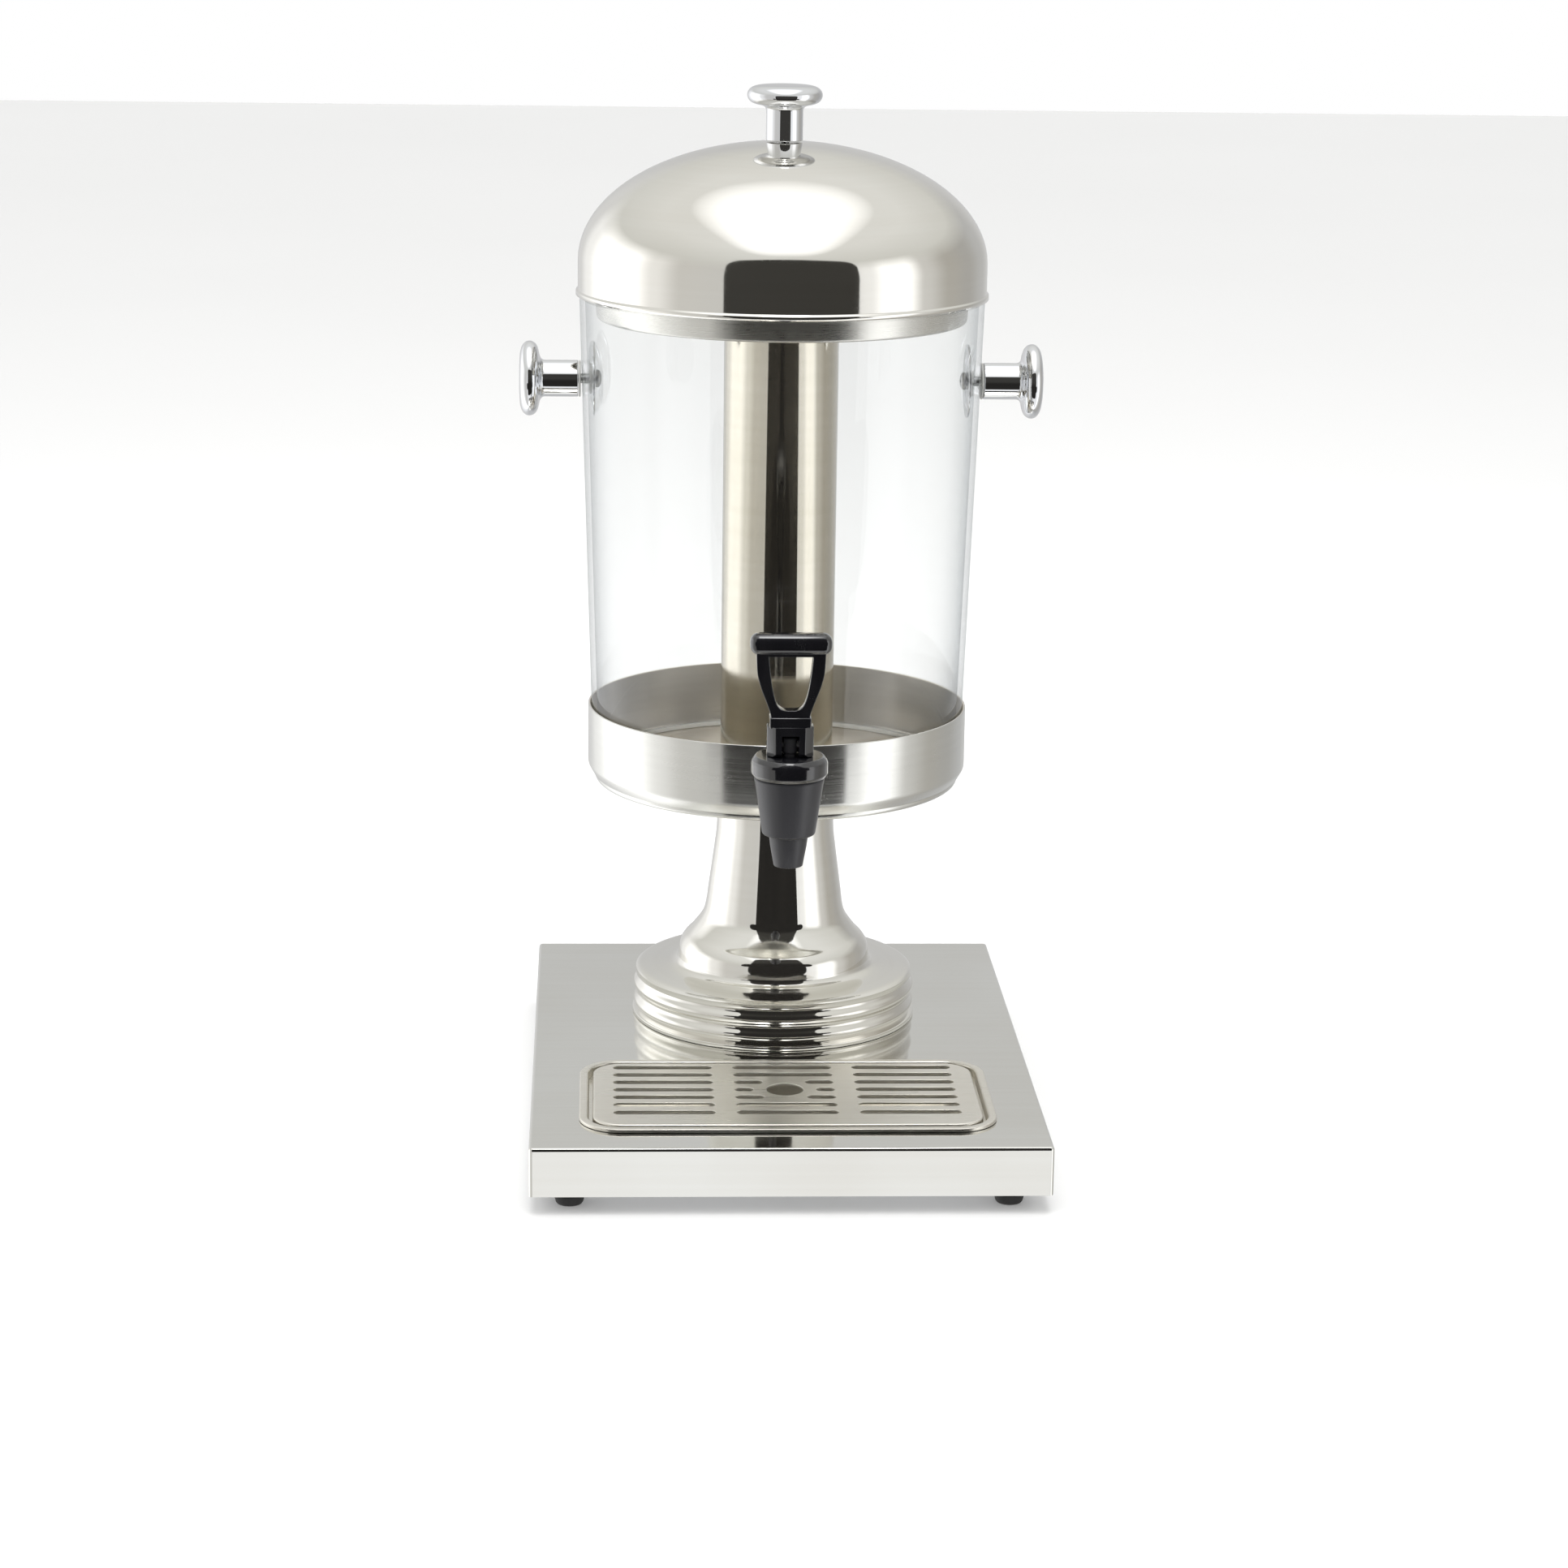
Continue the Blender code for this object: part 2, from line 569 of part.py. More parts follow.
def make_handles():
    """Side handles: knobs outside the tank, each pulled onto a gasket by a screw and a disc inside."""
    wall_outside = tank_radius(HANDLE_Z)
    wall_inside = wall_outside - TANK_WALL
    gasket_start = wall_outside + 2 * GAP
    knob_start = gasket_start + 1.0 + GAP
    pad_start = wall_inside - 2.5
    disc_start = pad_start - 1.6
    screw_start = disc_start - GAP
    for side, word in ((-1, "left"), (1, "right")):
        knob = knob_profile(HANDLE_TIP - knob_start)
        pieces = {
            knob_start: turned("handle_knob_" + word, knob, "chrome", steps=20, ring=False),
            gasket_start: washer("handle_gasket_" + word, KNOB_BORE, STEM_RADIUS, 0, 1.0, "silicone"),
            pad_start: washer("handle_pad_" + word, KNOB_BORE, 8.0, 0, 1.6, "silicone"),
            disc_start: washer("handle_disc_" + word, KNOB_BORE, DISC_RADIUS, 0, 1.2, "polished", steps=20),
            screw_start: knob_screw("handle_screw_" + word, (0, 0, 0), 21.0),
        }
        for distance, piece in pieces.items():
            piece.location = Vector((side * distance, AXIS_Y, BASE_TOP + HANDLE_Z)) * MM
            lay_along(piece, (side, 0, 0))


# ---------------------------------------------------------------- tap

def at_tap(height=0.0):
    """Return the place on the tap's upright axis at a height above the base."""
    return (0, TAP_Y, BASE_TOP + height)


def along_shank(y):
    """Return the place on the shank's axis at a depth y."""
    return (0, y, BASE_TOP + SHANK_Z)


def make_tap_body():
    """Cup and nozzle with a hollow shank that passes through the pan and the tank wall."""
    cup = [(0, CUP_TOP), (17.2, CUP_TOP), (17.8, CUP_TOP - 0.8), (13.3, CUP_BOTTOM + 1.2), (12.3, CUP_BOTTOM),
           (9.9, CUP_BOTTOM - 0.8), (7.8, NOZZLE_BOTTOM + 0.8), (7.3, NOZZLE_BOTTOM), (0, NOZZLE_BOTTOM)]
    body = turned("tap_body", cup, "satin_black", at_tap(), 22, ring=False)
    length = SHANK_END - TAP_Y
    collar_front = COLLAR_FRONT - TAP_Y
    collar_back = SHOULDER - TAP_Y
    shank_profile = [(0, length), (SHANK_RADIUS - 0.6, length), (SHANK_RADIUS, length - 0.6),
                     (SHANK_RADIUS, collar_back), (COLLAR_RADIUS, collar_back),
                     (COLLAR_RADIUS, collar_front + 1.0), (NECK_RADIUS, collar_front), (NECK_RADIUS, 0), (0, 0)]
    shank = turned("tap_shank", shank_profile, None, along_shank(TAP_Y), 20, ring=False, group=CUTTERS)
    combine(body, lay_along(shank, (0, 1, 0)), "UNION")
    room = [(0, CUP_TOP + 3), (CUP_ROOM, CUP_TOP + 3), (CUP_ROOM, CUP_TOP - 1), (10.6, SEAT_Z),
            (OUTLET_BORE, SEAT_Z), (OUTLET_BORE, NOZZLE_BOTTOM - 3), (0, NOZZLE_BOTTOM - 3)]
    combine(body, turned("tap_room", room, None, at_tap(), 22, ring=False, group=CUTTERS))
    bore = rod("shank_bore", SHANK_BORE, 0, length + 5, None, along_shank(TAP_Y), 16, CUTTERS)
    combine(body, lay_along(bore, (0, 1, 0)))


def make_tap_fittings():
    """Washers on both sides of the tank wall and the nut that pulls the tap tight."""
    inner_face = AXIS_Y - (tank_radius(SHANK_Z) - TANK_WALL)
    inner_start = inner_face + 1.1
    nut_start = inner_start + TAP_WASHER + GAP
    for word, start in (("outer", SHOULDER + GAP), ("inner", inner_start)):
        ring = washer("tap_washer_" + word, SHANK_HOLE, COLLAR_RADIUS, 0, TAP_WASHER, "silicone",
                      along_shank(start), 20)
        lay_along(ring, (0, 1, 0))
    for piece in hex_nut("tap_nut", 22.0, SHANK_HOLE, 0, 6.5, "satin_black", along_shank(nut_start)):
        lay_along(piece, (0, 1, 0))


def make_tap_valve():
    """Bonnet, stem and silicone seat cup that closes the nozzle."""
    bonnet = [(3.4, BONNET_TOP), (17.4, BONNET_TOP), (18.9, BONNET_TOP - 1.1), (19.35, BONNET_TOP - 3),
              (19.35, CUP_TOP + 1.2), (18.5, CUP_TOP + GAP), (14.0, CUP_TOP + GAP), (14.0, 174.5), (3.4, 174.5)]
    turned("tap_bonnet", bonnet, "gloss_black", at_tap(), 22)
    seat = [(0, SEAT_Z + 2.8), (3.3, SEAT_Z + 2.8), (3.3, SEAT_Z + 12), (5.4, SEAT_Z + 12), (6.2, SEAT_Z + 6),
            (8.7, SEAT_Z + 1.8), (8.7, SEAT_Z + GAP), (0, SEAT_Z + GAP)]
    cup = turned("tap_seat_cup", seat, "silicone", at_tap(), 18, ring=False)
    stem_profile = [(0, PIVOT_Z + 3.3), (2.9, PIVOT_Z + 3.3), (3.9, PIVOT_Z + 2.2), (3.9, PIVOT_Z - 4),
                    (3.0, PIVOT_Z - 5), (3.0, SEAT_Z + 3.2), (0, SEAT_Z + 3.2)]
    stem = turned("tap_stem", stem_profile, "satin_black", at_tap(), 16, ring=False)
    hole = rod("stem_pin_hole", PIN_HOLE, 0, 12, None, (-6, TAP_Y, BASE_TOP + PIVOT_Z), 12, CUTTERS)
    combine(stem, lay_along(hole, (1, 0, 0)))
    joint_origin("tap_stem_axis", at_tap(PIVOT_Z), [cup, stem])


def block(name, size, centre, look=None, group=None, chamfer=0.0, segments=1, upright_only=False):
    """Return a box with chamfered or rounded edges. Its place is the box's centre."""
    bm = bmesh.new()
    bmesh.ops.create_cube(bm, size=1)
    bmesh.ops.transform(bm, matrix=Matrix.Diagonal((*size, 1)), verts=bm.verts)
    picked = [edge for edge in bm.edges if not upright_only
              or abs(edge.verts[0].co.z - edge.verts[1].co.z) > size[2] / 2]
    if chamfer:
        bmesh.ops.bevel(bm, geom=picked, offset=chamfer, segments=segments, profile=0.5, affect="EDGES")
    return add_object(name, mesh_from(bm, name), look, centre, group or CUTTERS)


def make_lever():
    """Lever: a forked hub on the pivot pin, a stirrup loop above it and a cross bar to pull."""
    hub_low = BONNET_TOP + GAP
    hub_size = (*HUB_SIZE, HUB_TOP - hub_low)
    lever = block("tap_lever", hub_size, at_tap((hub_low + HUB_TOP) / 2), "gloss_black", PARTS, 4.4,
                  upright_only=True)
    for side in (-1, 1):
        relief = block("heel_relief", (30, 8, 8), (0, TAP_Y + side * HEEL_RELIEF, BASE_TOP + hub_low - 2.6))
        relief.rotation_euler = (math.radians(45), 0, 0)
        combine(lever, relief)
    overlap = 1.0
    ledge_size = (*LEDGE_SIZE, LOOP_BOTTOM - HUB_TOP + 2 * overlap)
    ledge = block("lever_ledge", ledge_size, at_tap((HUB_TOP + LOOP_BOTTOM) / 2), chamfer=0.9, segments=2)
    combine(lever, ledge, "UNION")
    combine(lever, stirrup(), "UNION")
    combine(lever, stirrup_opening())
    bar = block("lever_bar", (*BAR_SIZE, BAR_TOP - BAR_BOTTOM), at_tap((BAR_TOP + BAR_BOTTOM) / 2),
                chamfer=4.2, segments=3)
    combine(lever, bar, "UNION")
    slot_top = PIVOT_Z + 5.4
    slot_low = hub_low - 2
    slot_depth = 15.0
    slot_y = TAP_Y + (slot_depth - HUB_SIZE[1]) / 2 - 1.6
    slot = block("fork_slot", (FORK_WIDTH, slot_depth, slot_top - slot_low),
                 (0, slot_y, BASE_TOP + (slot_top + slot_low) / 2))
    combine(lever, slot)
    hole = rod("lever_pin_hole", PIN_HOLE, 0, 30, None, (-15, TAP_Y, BASE_TOP + PIVOT_Z), 12, CUTTERS)
    combine(lever, lay_along(hole, (1, 0, 0)))
    pin_half = 11.3
    pin = rod("tap_pivot_pin", PIN_RADIUS, 0, 2 * pin_half, "zinc", (-pin_half, TAP_Y, BASE_TOP + PIVOT_Z), 12)
    lay_along(pin, (1, 0, 0))
    joint_origin("tap_lever_axis", at_tap(PIVOT_Z), [lever, pin])


def slab(name, outline, depth):
    """Return a closed slab from an outline of (x, height above the base) points, centred on the tap."""
    bm = bmesh.new()
    bm.faces.new([bm.verts.new((x, -depth / 2, z)) for x, z in outline])
    made = bmesh.ops.extrude_face_region(bm, geom=list(bm.faces))
    moved = [part for part in made["geom"] if isinstance(part, bmesh.types.BMVert)]
    bmesh.ops.translate(bm, verts=moved, vec=(0, depth, 0))
    return add_object(name, mesh_from(bm, name), None, at_tap(), CUTTERS)


def stirrup():
    """Return the outside of the lever's loop, a plate that swells upward like a goblet."""
    height = LOOP_TOP - LOOP_BOTTOM
    right = [(half, LOOP_BOTTOM + share * height) for share, half in LOOP_HALF_WIDTHS]
    left = [(-half, z) for half, z in reversed(right)]
    return slab("lever_stirrup", right + left, LOOP_THICKNESS)


def stirrup_opening():
    """Return the U-shaped opening of the loop, as a cutter."""
    count = 12
    shares = [math.sin(math.pi * (step / count - 0.5)) for step in range(count + 1)]
    rise = OPENING_TOP - OPENING_BOTTOM
    outline = [(OPENING_HALF * share, OPENING_BOTTOM + rise * abs(share) ** OPENING_POWER) for share in shares]
    return slab("stirrup_opening", outline, 16)


make_base()
make_feet()
make_tray()
make_grille()
make_pedestal()
make_centre_bolt()
make_pan()
make_tank()
make_ice_tube()
make_lid()
make_handles()
make_tap_body()
make_tap_fittings()
make_tap_valve()
make_lever()
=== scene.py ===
"""Looks of a countertop cold drink dispenser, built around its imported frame.

Sizes are in millimetres on the frame's own axes: +X to the user's right, +Y away from the user and +Z up.
A height "above the base" counts from the top face of the base. Each class is one sub-assembly: it holds
its sizes, shapes its meshes round their own axes and hands them to the frame as finished pieces.
"""
import logging
import math
from collections.abc import Callable, Sequence
from dataclasses import dataclass
from enum import Enum

import bmesh
import bpy
from mathutils import Matrix, Vector


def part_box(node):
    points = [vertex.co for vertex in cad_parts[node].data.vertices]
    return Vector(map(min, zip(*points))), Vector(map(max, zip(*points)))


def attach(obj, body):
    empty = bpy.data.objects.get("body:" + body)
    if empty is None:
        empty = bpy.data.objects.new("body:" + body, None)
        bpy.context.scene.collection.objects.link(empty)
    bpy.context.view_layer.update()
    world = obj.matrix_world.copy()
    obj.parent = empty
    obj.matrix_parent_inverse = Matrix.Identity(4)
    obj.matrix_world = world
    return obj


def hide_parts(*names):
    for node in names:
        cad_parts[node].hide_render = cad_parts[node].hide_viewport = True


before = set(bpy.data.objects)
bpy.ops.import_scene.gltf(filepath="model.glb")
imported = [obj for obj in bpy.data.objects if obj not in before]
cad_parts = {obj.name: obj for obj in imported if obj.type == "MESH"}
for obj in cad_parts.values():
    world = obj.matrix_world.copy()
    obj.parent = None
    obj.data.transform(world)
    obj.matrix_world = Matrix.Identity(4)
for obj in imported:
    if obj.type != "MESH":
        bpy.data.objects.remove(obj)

LOG = logging.getLogger("drink_dispenser")
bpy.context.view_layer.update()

MM = 0.001
WELD = 0.0004                 # points closer than this are one point
GAP = 0.3                     # clearance between pieces that rest on each other
SHEET = 1.2                   # thickness of the steel sheet
NECK_TOP = 136.5              # height of the pedestal's top above the base
RING_STRETCH = 10.0           # distance between the rings of a loft while they are bridged
SKEW = 0.02                   # turns straight marks a little, so that they also run along a side face

Point = tuple[float, ...]
Outline = list[tuple[float, float]]
Colour = tuple[float, float, float]


def low(node: str) -> Vector:
    """Return the lowest corner of a CAD node in millimetres."""
    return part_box(node)[0] / MM


def high(node: str) -> Vector:
    """Return the highest corner of a CAD node in millimetres."""
    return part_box(node)[1] / MM


def middle(node: str) -> Vector:
    """Return the middle of a CAD node's box in millimetres."""
    return (low(node) + high(node)) / 2


BASE_TOP = high("pedestal").z - NECK_TOP
AXIS = middle("tank")
TAP = middle("tap_bonnet")


# ---------------------------------------------------------------- shapes

class Facing(Enum):
    """Way that a shape's own upward axis points once it is in the frame."""

    UP = (0.0, 0.0, 1.0)
    LEFT = (-1.0, 0.0, 0.0)
    RIGHT = (1.0, 0.0, 0.0)
    BACK = (0.0, 1.0, 0.0)


class Joining(Enum):
    """What a second closed shape does to the first."""

    UNION = "UNION"
    CUT = "DIFFERENCE"


@dataclass(frozen=True)
class Seat:
    """Point that a shape's origin goes to, in millimetres, and the way its upward axis points."""

    x: float
    y: float
    z: float
    facing: Facing = Facing.UP

    def matrix(self) -> Matrix:
        """Return the transform from the shape's millimetres to the frame's metres."""
        turn = Vector((0, 0, 1)).rotation_difference(Vector(self.facing.value)).to_matrix().to_4x4()
        return Matrix.Scale(MM, 4) @ Matrix.Translation((self.x, self.y, self.z)) @ turn


def on_axis(height: float = 0.0) -> Seat:
    """Return the seat on the tank's upright axis at a height above the base."""
    return Seat(AXIS.x, AXIS.y, BASE_TOP + height)


def on_tap(height: float = 0.0) -> Seat:
    """Return the seat on the tap's upright axis at a height above the base."""
    return Seat(TAP.x, TAP.y, BASE_TOP + height)


def rounded(points: Sequence[Point], closed: bool = True, step: float = 12.0) -> Outline:
    """Turn corners into arcs.

    Args:
        points: (radius, height) or (radius, height, fillet) for each corner.
        closed: True if the last point joins the first.
        step: Largest angle of one arc segment, in degrees.

    Returns:
        The outline with every filleted corner replaced by points on its arc.
    """
    outline: Outline = []
    count = len(points)
    for index, point in enumerate(points):
        corner = Vector(point[:2])
        at_end = not closed and index in (0, count - 1)
        if len(point) < 3 or at_end:
            outline.append((corner.x, corner.y))
            continue
        before = Vector(points[index - 1][:2]) - corner
        after = Vector(points[(index + 1) % count][:2]) - corner
        half = before.angle(after) / 2
        reach = min(point[2] / math.tan(half), 0.499 * before.length, 0.499 * after.length)
        radius = reach * math.tan(half)
        centre = corner + (before.normalized() + after.normalized()).normalized() * radius / math.sin(half)
        start = corner + before.normalized() * reach - centre
        turn = start.angle_signed(corner + after.normalized() * reach - centre)
        parts = max(2, math.ceil(abs(math.degrees(turn)) / step))
        for part in range(parts + 1):
            spoke = start.copy()
            spoke.rotate(Matrix.Rotation(-turn * part / parts, 2))
            outline.append((centre.x + spoke.x, centre.y + spoke.y))
    return outline


def flowing(points: Sequence[tuple[float, float]], parts: int = 5) -> Outline:
    """Return a smooth curve through points, with a few parts in each span."""
    ends = [points[0], *points, points[-1]]
    curve: Outline = []
    for before, start, end, after in zip(ends, ends[1:], ends[2:], ends[3:]):
        for part in range(parts):
            t = part / parts
            weights = ((-t + 2 * t ** 2 - t ** 3) / 2, (2 - 5 * t ** 2 + 3 * t ** 3) / 2,
                       (t + 4 * t ** 2 - 3 * t ** 3) / 2, (t ** 3 - t ** 2) / 2)
            corners = (before, start, end, after)
            curve.append(tuple(sum(w * c[axis] for w, c in zip(weights, corners)) for axis in (0, 1)))
    return [*curve, tuple(points[-1])]


class Shape:
    """Mesh under construction, in millimetres round its own origin."""

    def __init__(self) -> None:
        """Start with an empty mesh."""
        self.mesh = bmesh.new()

    @classmethod
    def turned(cls, outline: Outline, steps: int = 96, ring: bool = True) -> "Shape":
        """Spin an outline of (radius, height) points round the upright axis.

        Args:
            outline: Points down the outer side.
            steps: Facets in a full turn.
            ring: True if the outline closes on itself.

        Returns:
            The turned shape, with its seam and poles closed.
        """
        shape = cls()
        mesh = shape.mesh
        points = [mesh.verts.new((radius, 0, height)) for radius, height in outline]
        for pair in zip(points, points[1:]):
            mesh.edges.new(pair)
        if ring:
            mesh.edges.new((points[-1], points[0]))
        bmesh.ops.spin(mesh, geom=[*mesh.verts, *mesh.edges], cent=(0, 0, 0), axis=(0, 0, 1),
                       dvec=(0, 0, 0), angle=math.tau, steps=steps, use_merge=True, use_duplicate=False)
        return shape.tidied()

    @classmethod
    def block(cls, size: Point, centre: Point = (0, 0, 0)) -> "Shape":
        """Return a box of a size round a centre."""
        shape = cls()
        made = bmesh.ops.create_cube(shape.mesh, size=1)
        bmesh.ops.scale(shape.mesh, verts=made["verts"], vec=size)
        bmesh.ops.translate(shape.mesh, verts=made["verts"], vec=centre)
        return shape

    @classmethod
    def rod(cls, radius: float, bottom: float, top: float, steps: int = 48) -> "Shape":
        """Return a plain round bar along the upright axis."""
        shape = cls()
        place = Matrix.Translation((0, 0, (bottom + top) / 2))
        bmesh.ops.create_cone(shape.mesh, cap_ends=True, segments=steps, radius1=radius, radius2=radius,
                              depth=top - bottom, matrix=place)
        return shape

    def tidied(self) -> "Shape":
        """Merge doubles and point every face outwards."""
        bmesh.ops.remove_doubles(self.mesh, verts=self.mesh.verts, dist=WELD)
        bmesh.ops.recalc_face_normals(self.mesh, faces=self.mesh.faces)
        return self

    def upright(self) -> "Shape":
        """Turn an open sheet's faces over if its flat parts look down."""
        if sum(face.normal.z * face.calc_area() for face in self.mesh.faces) < 0:
            bmesh.ops.reverse_faces(self.mesh, faces=self.mesh.faces)
        return self

    def wire(self, half: Point, corner: float, height: float = 0.0, centre: Point = (0.0, 0.0),
             segments: int = 32) -> list[bmesh.types.BMEdge]:
        """Add a closed flat wire: a circle whose quarters are moved apart.

        Args:
            half: Half the width and half the depth.
            corner: Radius of each quarter.
            height: Height of the wire.
            centre: Middle of the wire.
            segments: Segments in the four quarters together.

        Returns:
            The wire's edges.
        """
        half_step = Matrix.Rotation(math.pi / segments, 4, "Z")
        made = bmesh.ops.create_circle(self.mesh, segments=segments, radius=corner, matrix=half_step)
        for vert in made["verts"]:
            vert.co.x += math.copysign(half[0] - corner, vert.co.x) + centre[0]
            vert.co.y += math.copysign(half[1] - corner, vert.co.y) + centre[1]
            vert.co.z = height
        return list({edge for vert in made["verts"] for edge in vert.link_edges})

    def loft(self, half: Point, corner: float, section: Outline) -> list[list[bmesh.types.BMEdge]]:
        """Bridge rounded rectangles into a wall.

        Args:
            half: Half the outer width and half the outer depth.
            corner: Outer corner radius.
            section: (inset, height) of each rectangle in turn.

        Returns:
            The wire of each rectangle, first to last.
        """
        wires = [self.wire((half[0] - inset, half[1] - inset), corner - inset, -RING_STRETCH * step)
                 for step, (inset, _) in enumerate(section)]
        for pair in zip(wires, wires[1:]):
            bmesh.ops.bridge_loops(self.mesh, edges=[*pair[0], *pair[1]])
        # Two rings at one height only bridge cleanly while they are apart, so heights are set afterwards.
        for wire, (_, height) in zip(wires, section):
            for vert in {vert for edge in wire for vert in edge.verts}:
                vert.co.z = height
        return wires

    def moved(self, vec: Point) -> "Shape":
        """Shift the whole shape."""
        bmesh.ops.translate(self.mesh, verts=self.mesh.verts, vec=vec)
        return self

    def turned_to(self, facing: Facing) -> "Shape":
        """Point the shape's upward axis another way."""
        turn = Vector((0, 0, 1)).rotation_difference(Vector(facing.value)).to_matrix().to_4x4()
        bmesh.ops.transform(self.mesh, matrix=turn, verts=self.mesh.verts)
        return self

    def eased(self, offset: float, segments: int = 3, angle: float = 30.0,
              where: Callable[[bmesh.types.BMEdge], bool] = lambda edge: True) -> "Shape":
        """Round the sharp edges.

        Args:
            offset: Width of the rounding.
            segments: Segments across it.
            angle: Edges flatter than this, in degrees, stay.
            where: Picks among the sharp edges.

        Returns:
            The same shape.
        """
        self.mesh.normal_update()
        sharp = [edge for edge in self.mesh.edges
                 if edge.is_manifold and edge.calc_face_angle(0) > math.radians(angle) and where(edge)]
        bmesh.ops.bevel(self.mesh, geom=sharp, offset=offset, segments=segments, profile=0.5,
                        affect="EDGES", material=-1, clamp_overlap=True)
        return self

    def marked(self, index: int, where: Callable[[Vector], bool]) -> "Shape":
        """Give the faces whose middle passes a test the finish at an index."""
        for face in self.mesh.faces:
            if where(face.calc_center_median()):
                face.material_index = index
        return self

    def put_down(self, name: str) -> bpy.types.Object:
        """Turn the mesh into an object in the scene."""
        data = bpy.data.meshes.new(name)
        self.mesh.to_mesh(data)
        self.mesh.free()
        item = bpy.data.objects.new(name, data)
        bpy.context.scene.collection.objects.link(item)
        return item

    def combined(self, other: "Shape", how: Joining) -> "Shape":
        """Return this closed shape joined with, or cut by, another closed shape."""
        kept = self.put_down("kept_shape")
        tool = other.put_down("tool_shape")
        change = kept.modifiers.new("combine", "BOOLEAN")
        change.operation = how.value
        change.solver = "EXACT"
        change.object = tool
        graph = bpy.context.evaluated_depsgraph_get()
        result = Shape()
        evaluated = kept.evaluated_get(graph)
        result.mesh.from_mesh(evaluated.to_mesh())
        evaluated.to_mesh_clear()
        for item in (kept, tool):
            data = item.data
            bpy.data.objects.remove(item)
            bpy.data.meshes.remove(data)
        bmesh.ops.remove_doubles(result.mesh, verts=result.mesh.verts, dist=WELD)
        return result

    def joined(self, other: "Shape") -> "Shape":
        """Return this shape with another one grown onto it."""
        return self.combined(other, Joining.UNION)

    def cut(self, other: "Shape") -> "Shape":
        """Return this shape with another one taken out of it."""
        return self.combined(other, Joining.CUT)


@dataclass(frozen=True)
class Label:
    """What a finished piece is called, rides on and stands for."""

    name: str
    body: str
    slot: str
    nodes: tuple[str, ...]


@dataclass(frozen=True)
class Making:
    """How a shape's surface is finished."""

    wall: float = 0.0         # wall thickness behind the faces, or 0 for a closed shape
    ease: float = 0.0         # rounding of the edges that are left sharp, or 0 for none
    smooth: float = 32.0      # edges sharper than this many degrees stay crisp
    flats: bool = False       # True if large flat faces meet small roundings


def keep_flats_flat(data: bpy.types.Mesh) -> None:
    """Part the large level and upright faces from their roundings, so that they mirror as true planes."""
    mesh = bmesh.new()
    mesh.from_mesh(data)
    for edge in mesh.edges:
        if edge.is_boundary:
            edge.smooth = False
        if len(edge.link_faces) == 2:
            true = [max(abs(part) for part in face.normal) > 0.99999 for face in edge.link_faces]
            if any(true) and edge.calc_face_angle(0) > math.radians(0.5):
                edge.smooth = False
    mesh.to_mesh(data)
    mesh.free()


def hand_over(shape: Shape, label: Label, seat: Seat, looks: Sequence[bpy.types.Material],
              making: Making = Making()) -> bpy.types.Object:
    """Put a shape in the frame as a finished piece.

    Args:
        shape: The shape in millimetres.
        label: Its name, body, slot and the CAD nodes that it replaces.
        seat: Where it goes.
        looks: Its materials, in the order of its faces' finish indices.
        making: How its surface is finished.

    Returns:
        The finished object, at the frame's origin with its place in its mesh.
    """
    item = shape.put_down(label.name)
    item.data.transform(seat.matrix())
    for look in looks:
        item.data.materials.append(look)
    item.data.shade_smooth()
    item.data.set_sharp_from_angle(angle=math.radians(making.smooth))
    if making.flats:
        keep_flats_flat(item.data)
    if making.wall:
        wall = item.modifiers.new("wall", "SOLIDIFY")
        wall.thickness = making.wall * MM
        wall.offset = -1
        wall.use_even_offset = True
    if making.ease:
        ease = item.modifiers.new("ease", "BEVEL")
        ease.width = making.ease * MM
        ease.segments = 2
        ease.limit_method = "ANGLE"
        ease.angle_limit = math.radians(40)
        ease.harden_normals = True
    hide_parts(*label.nodes)
    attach(item, label.body)
    LOG.info("%s: %d faces on body %s, for %s", label.name, len(item.data.polygons), label.body,
             ", ".join(label.nodes))
    return item


# ---------------------------------------------------------------- finishes

class Grain(Enum):
    """How the fine marks of a finish run."""

    TURNED = "turned"         # rings round an upright axis
    ALONG_X = "along_x"       # straight lines from left to right
    CAST = "cast"             # no direction


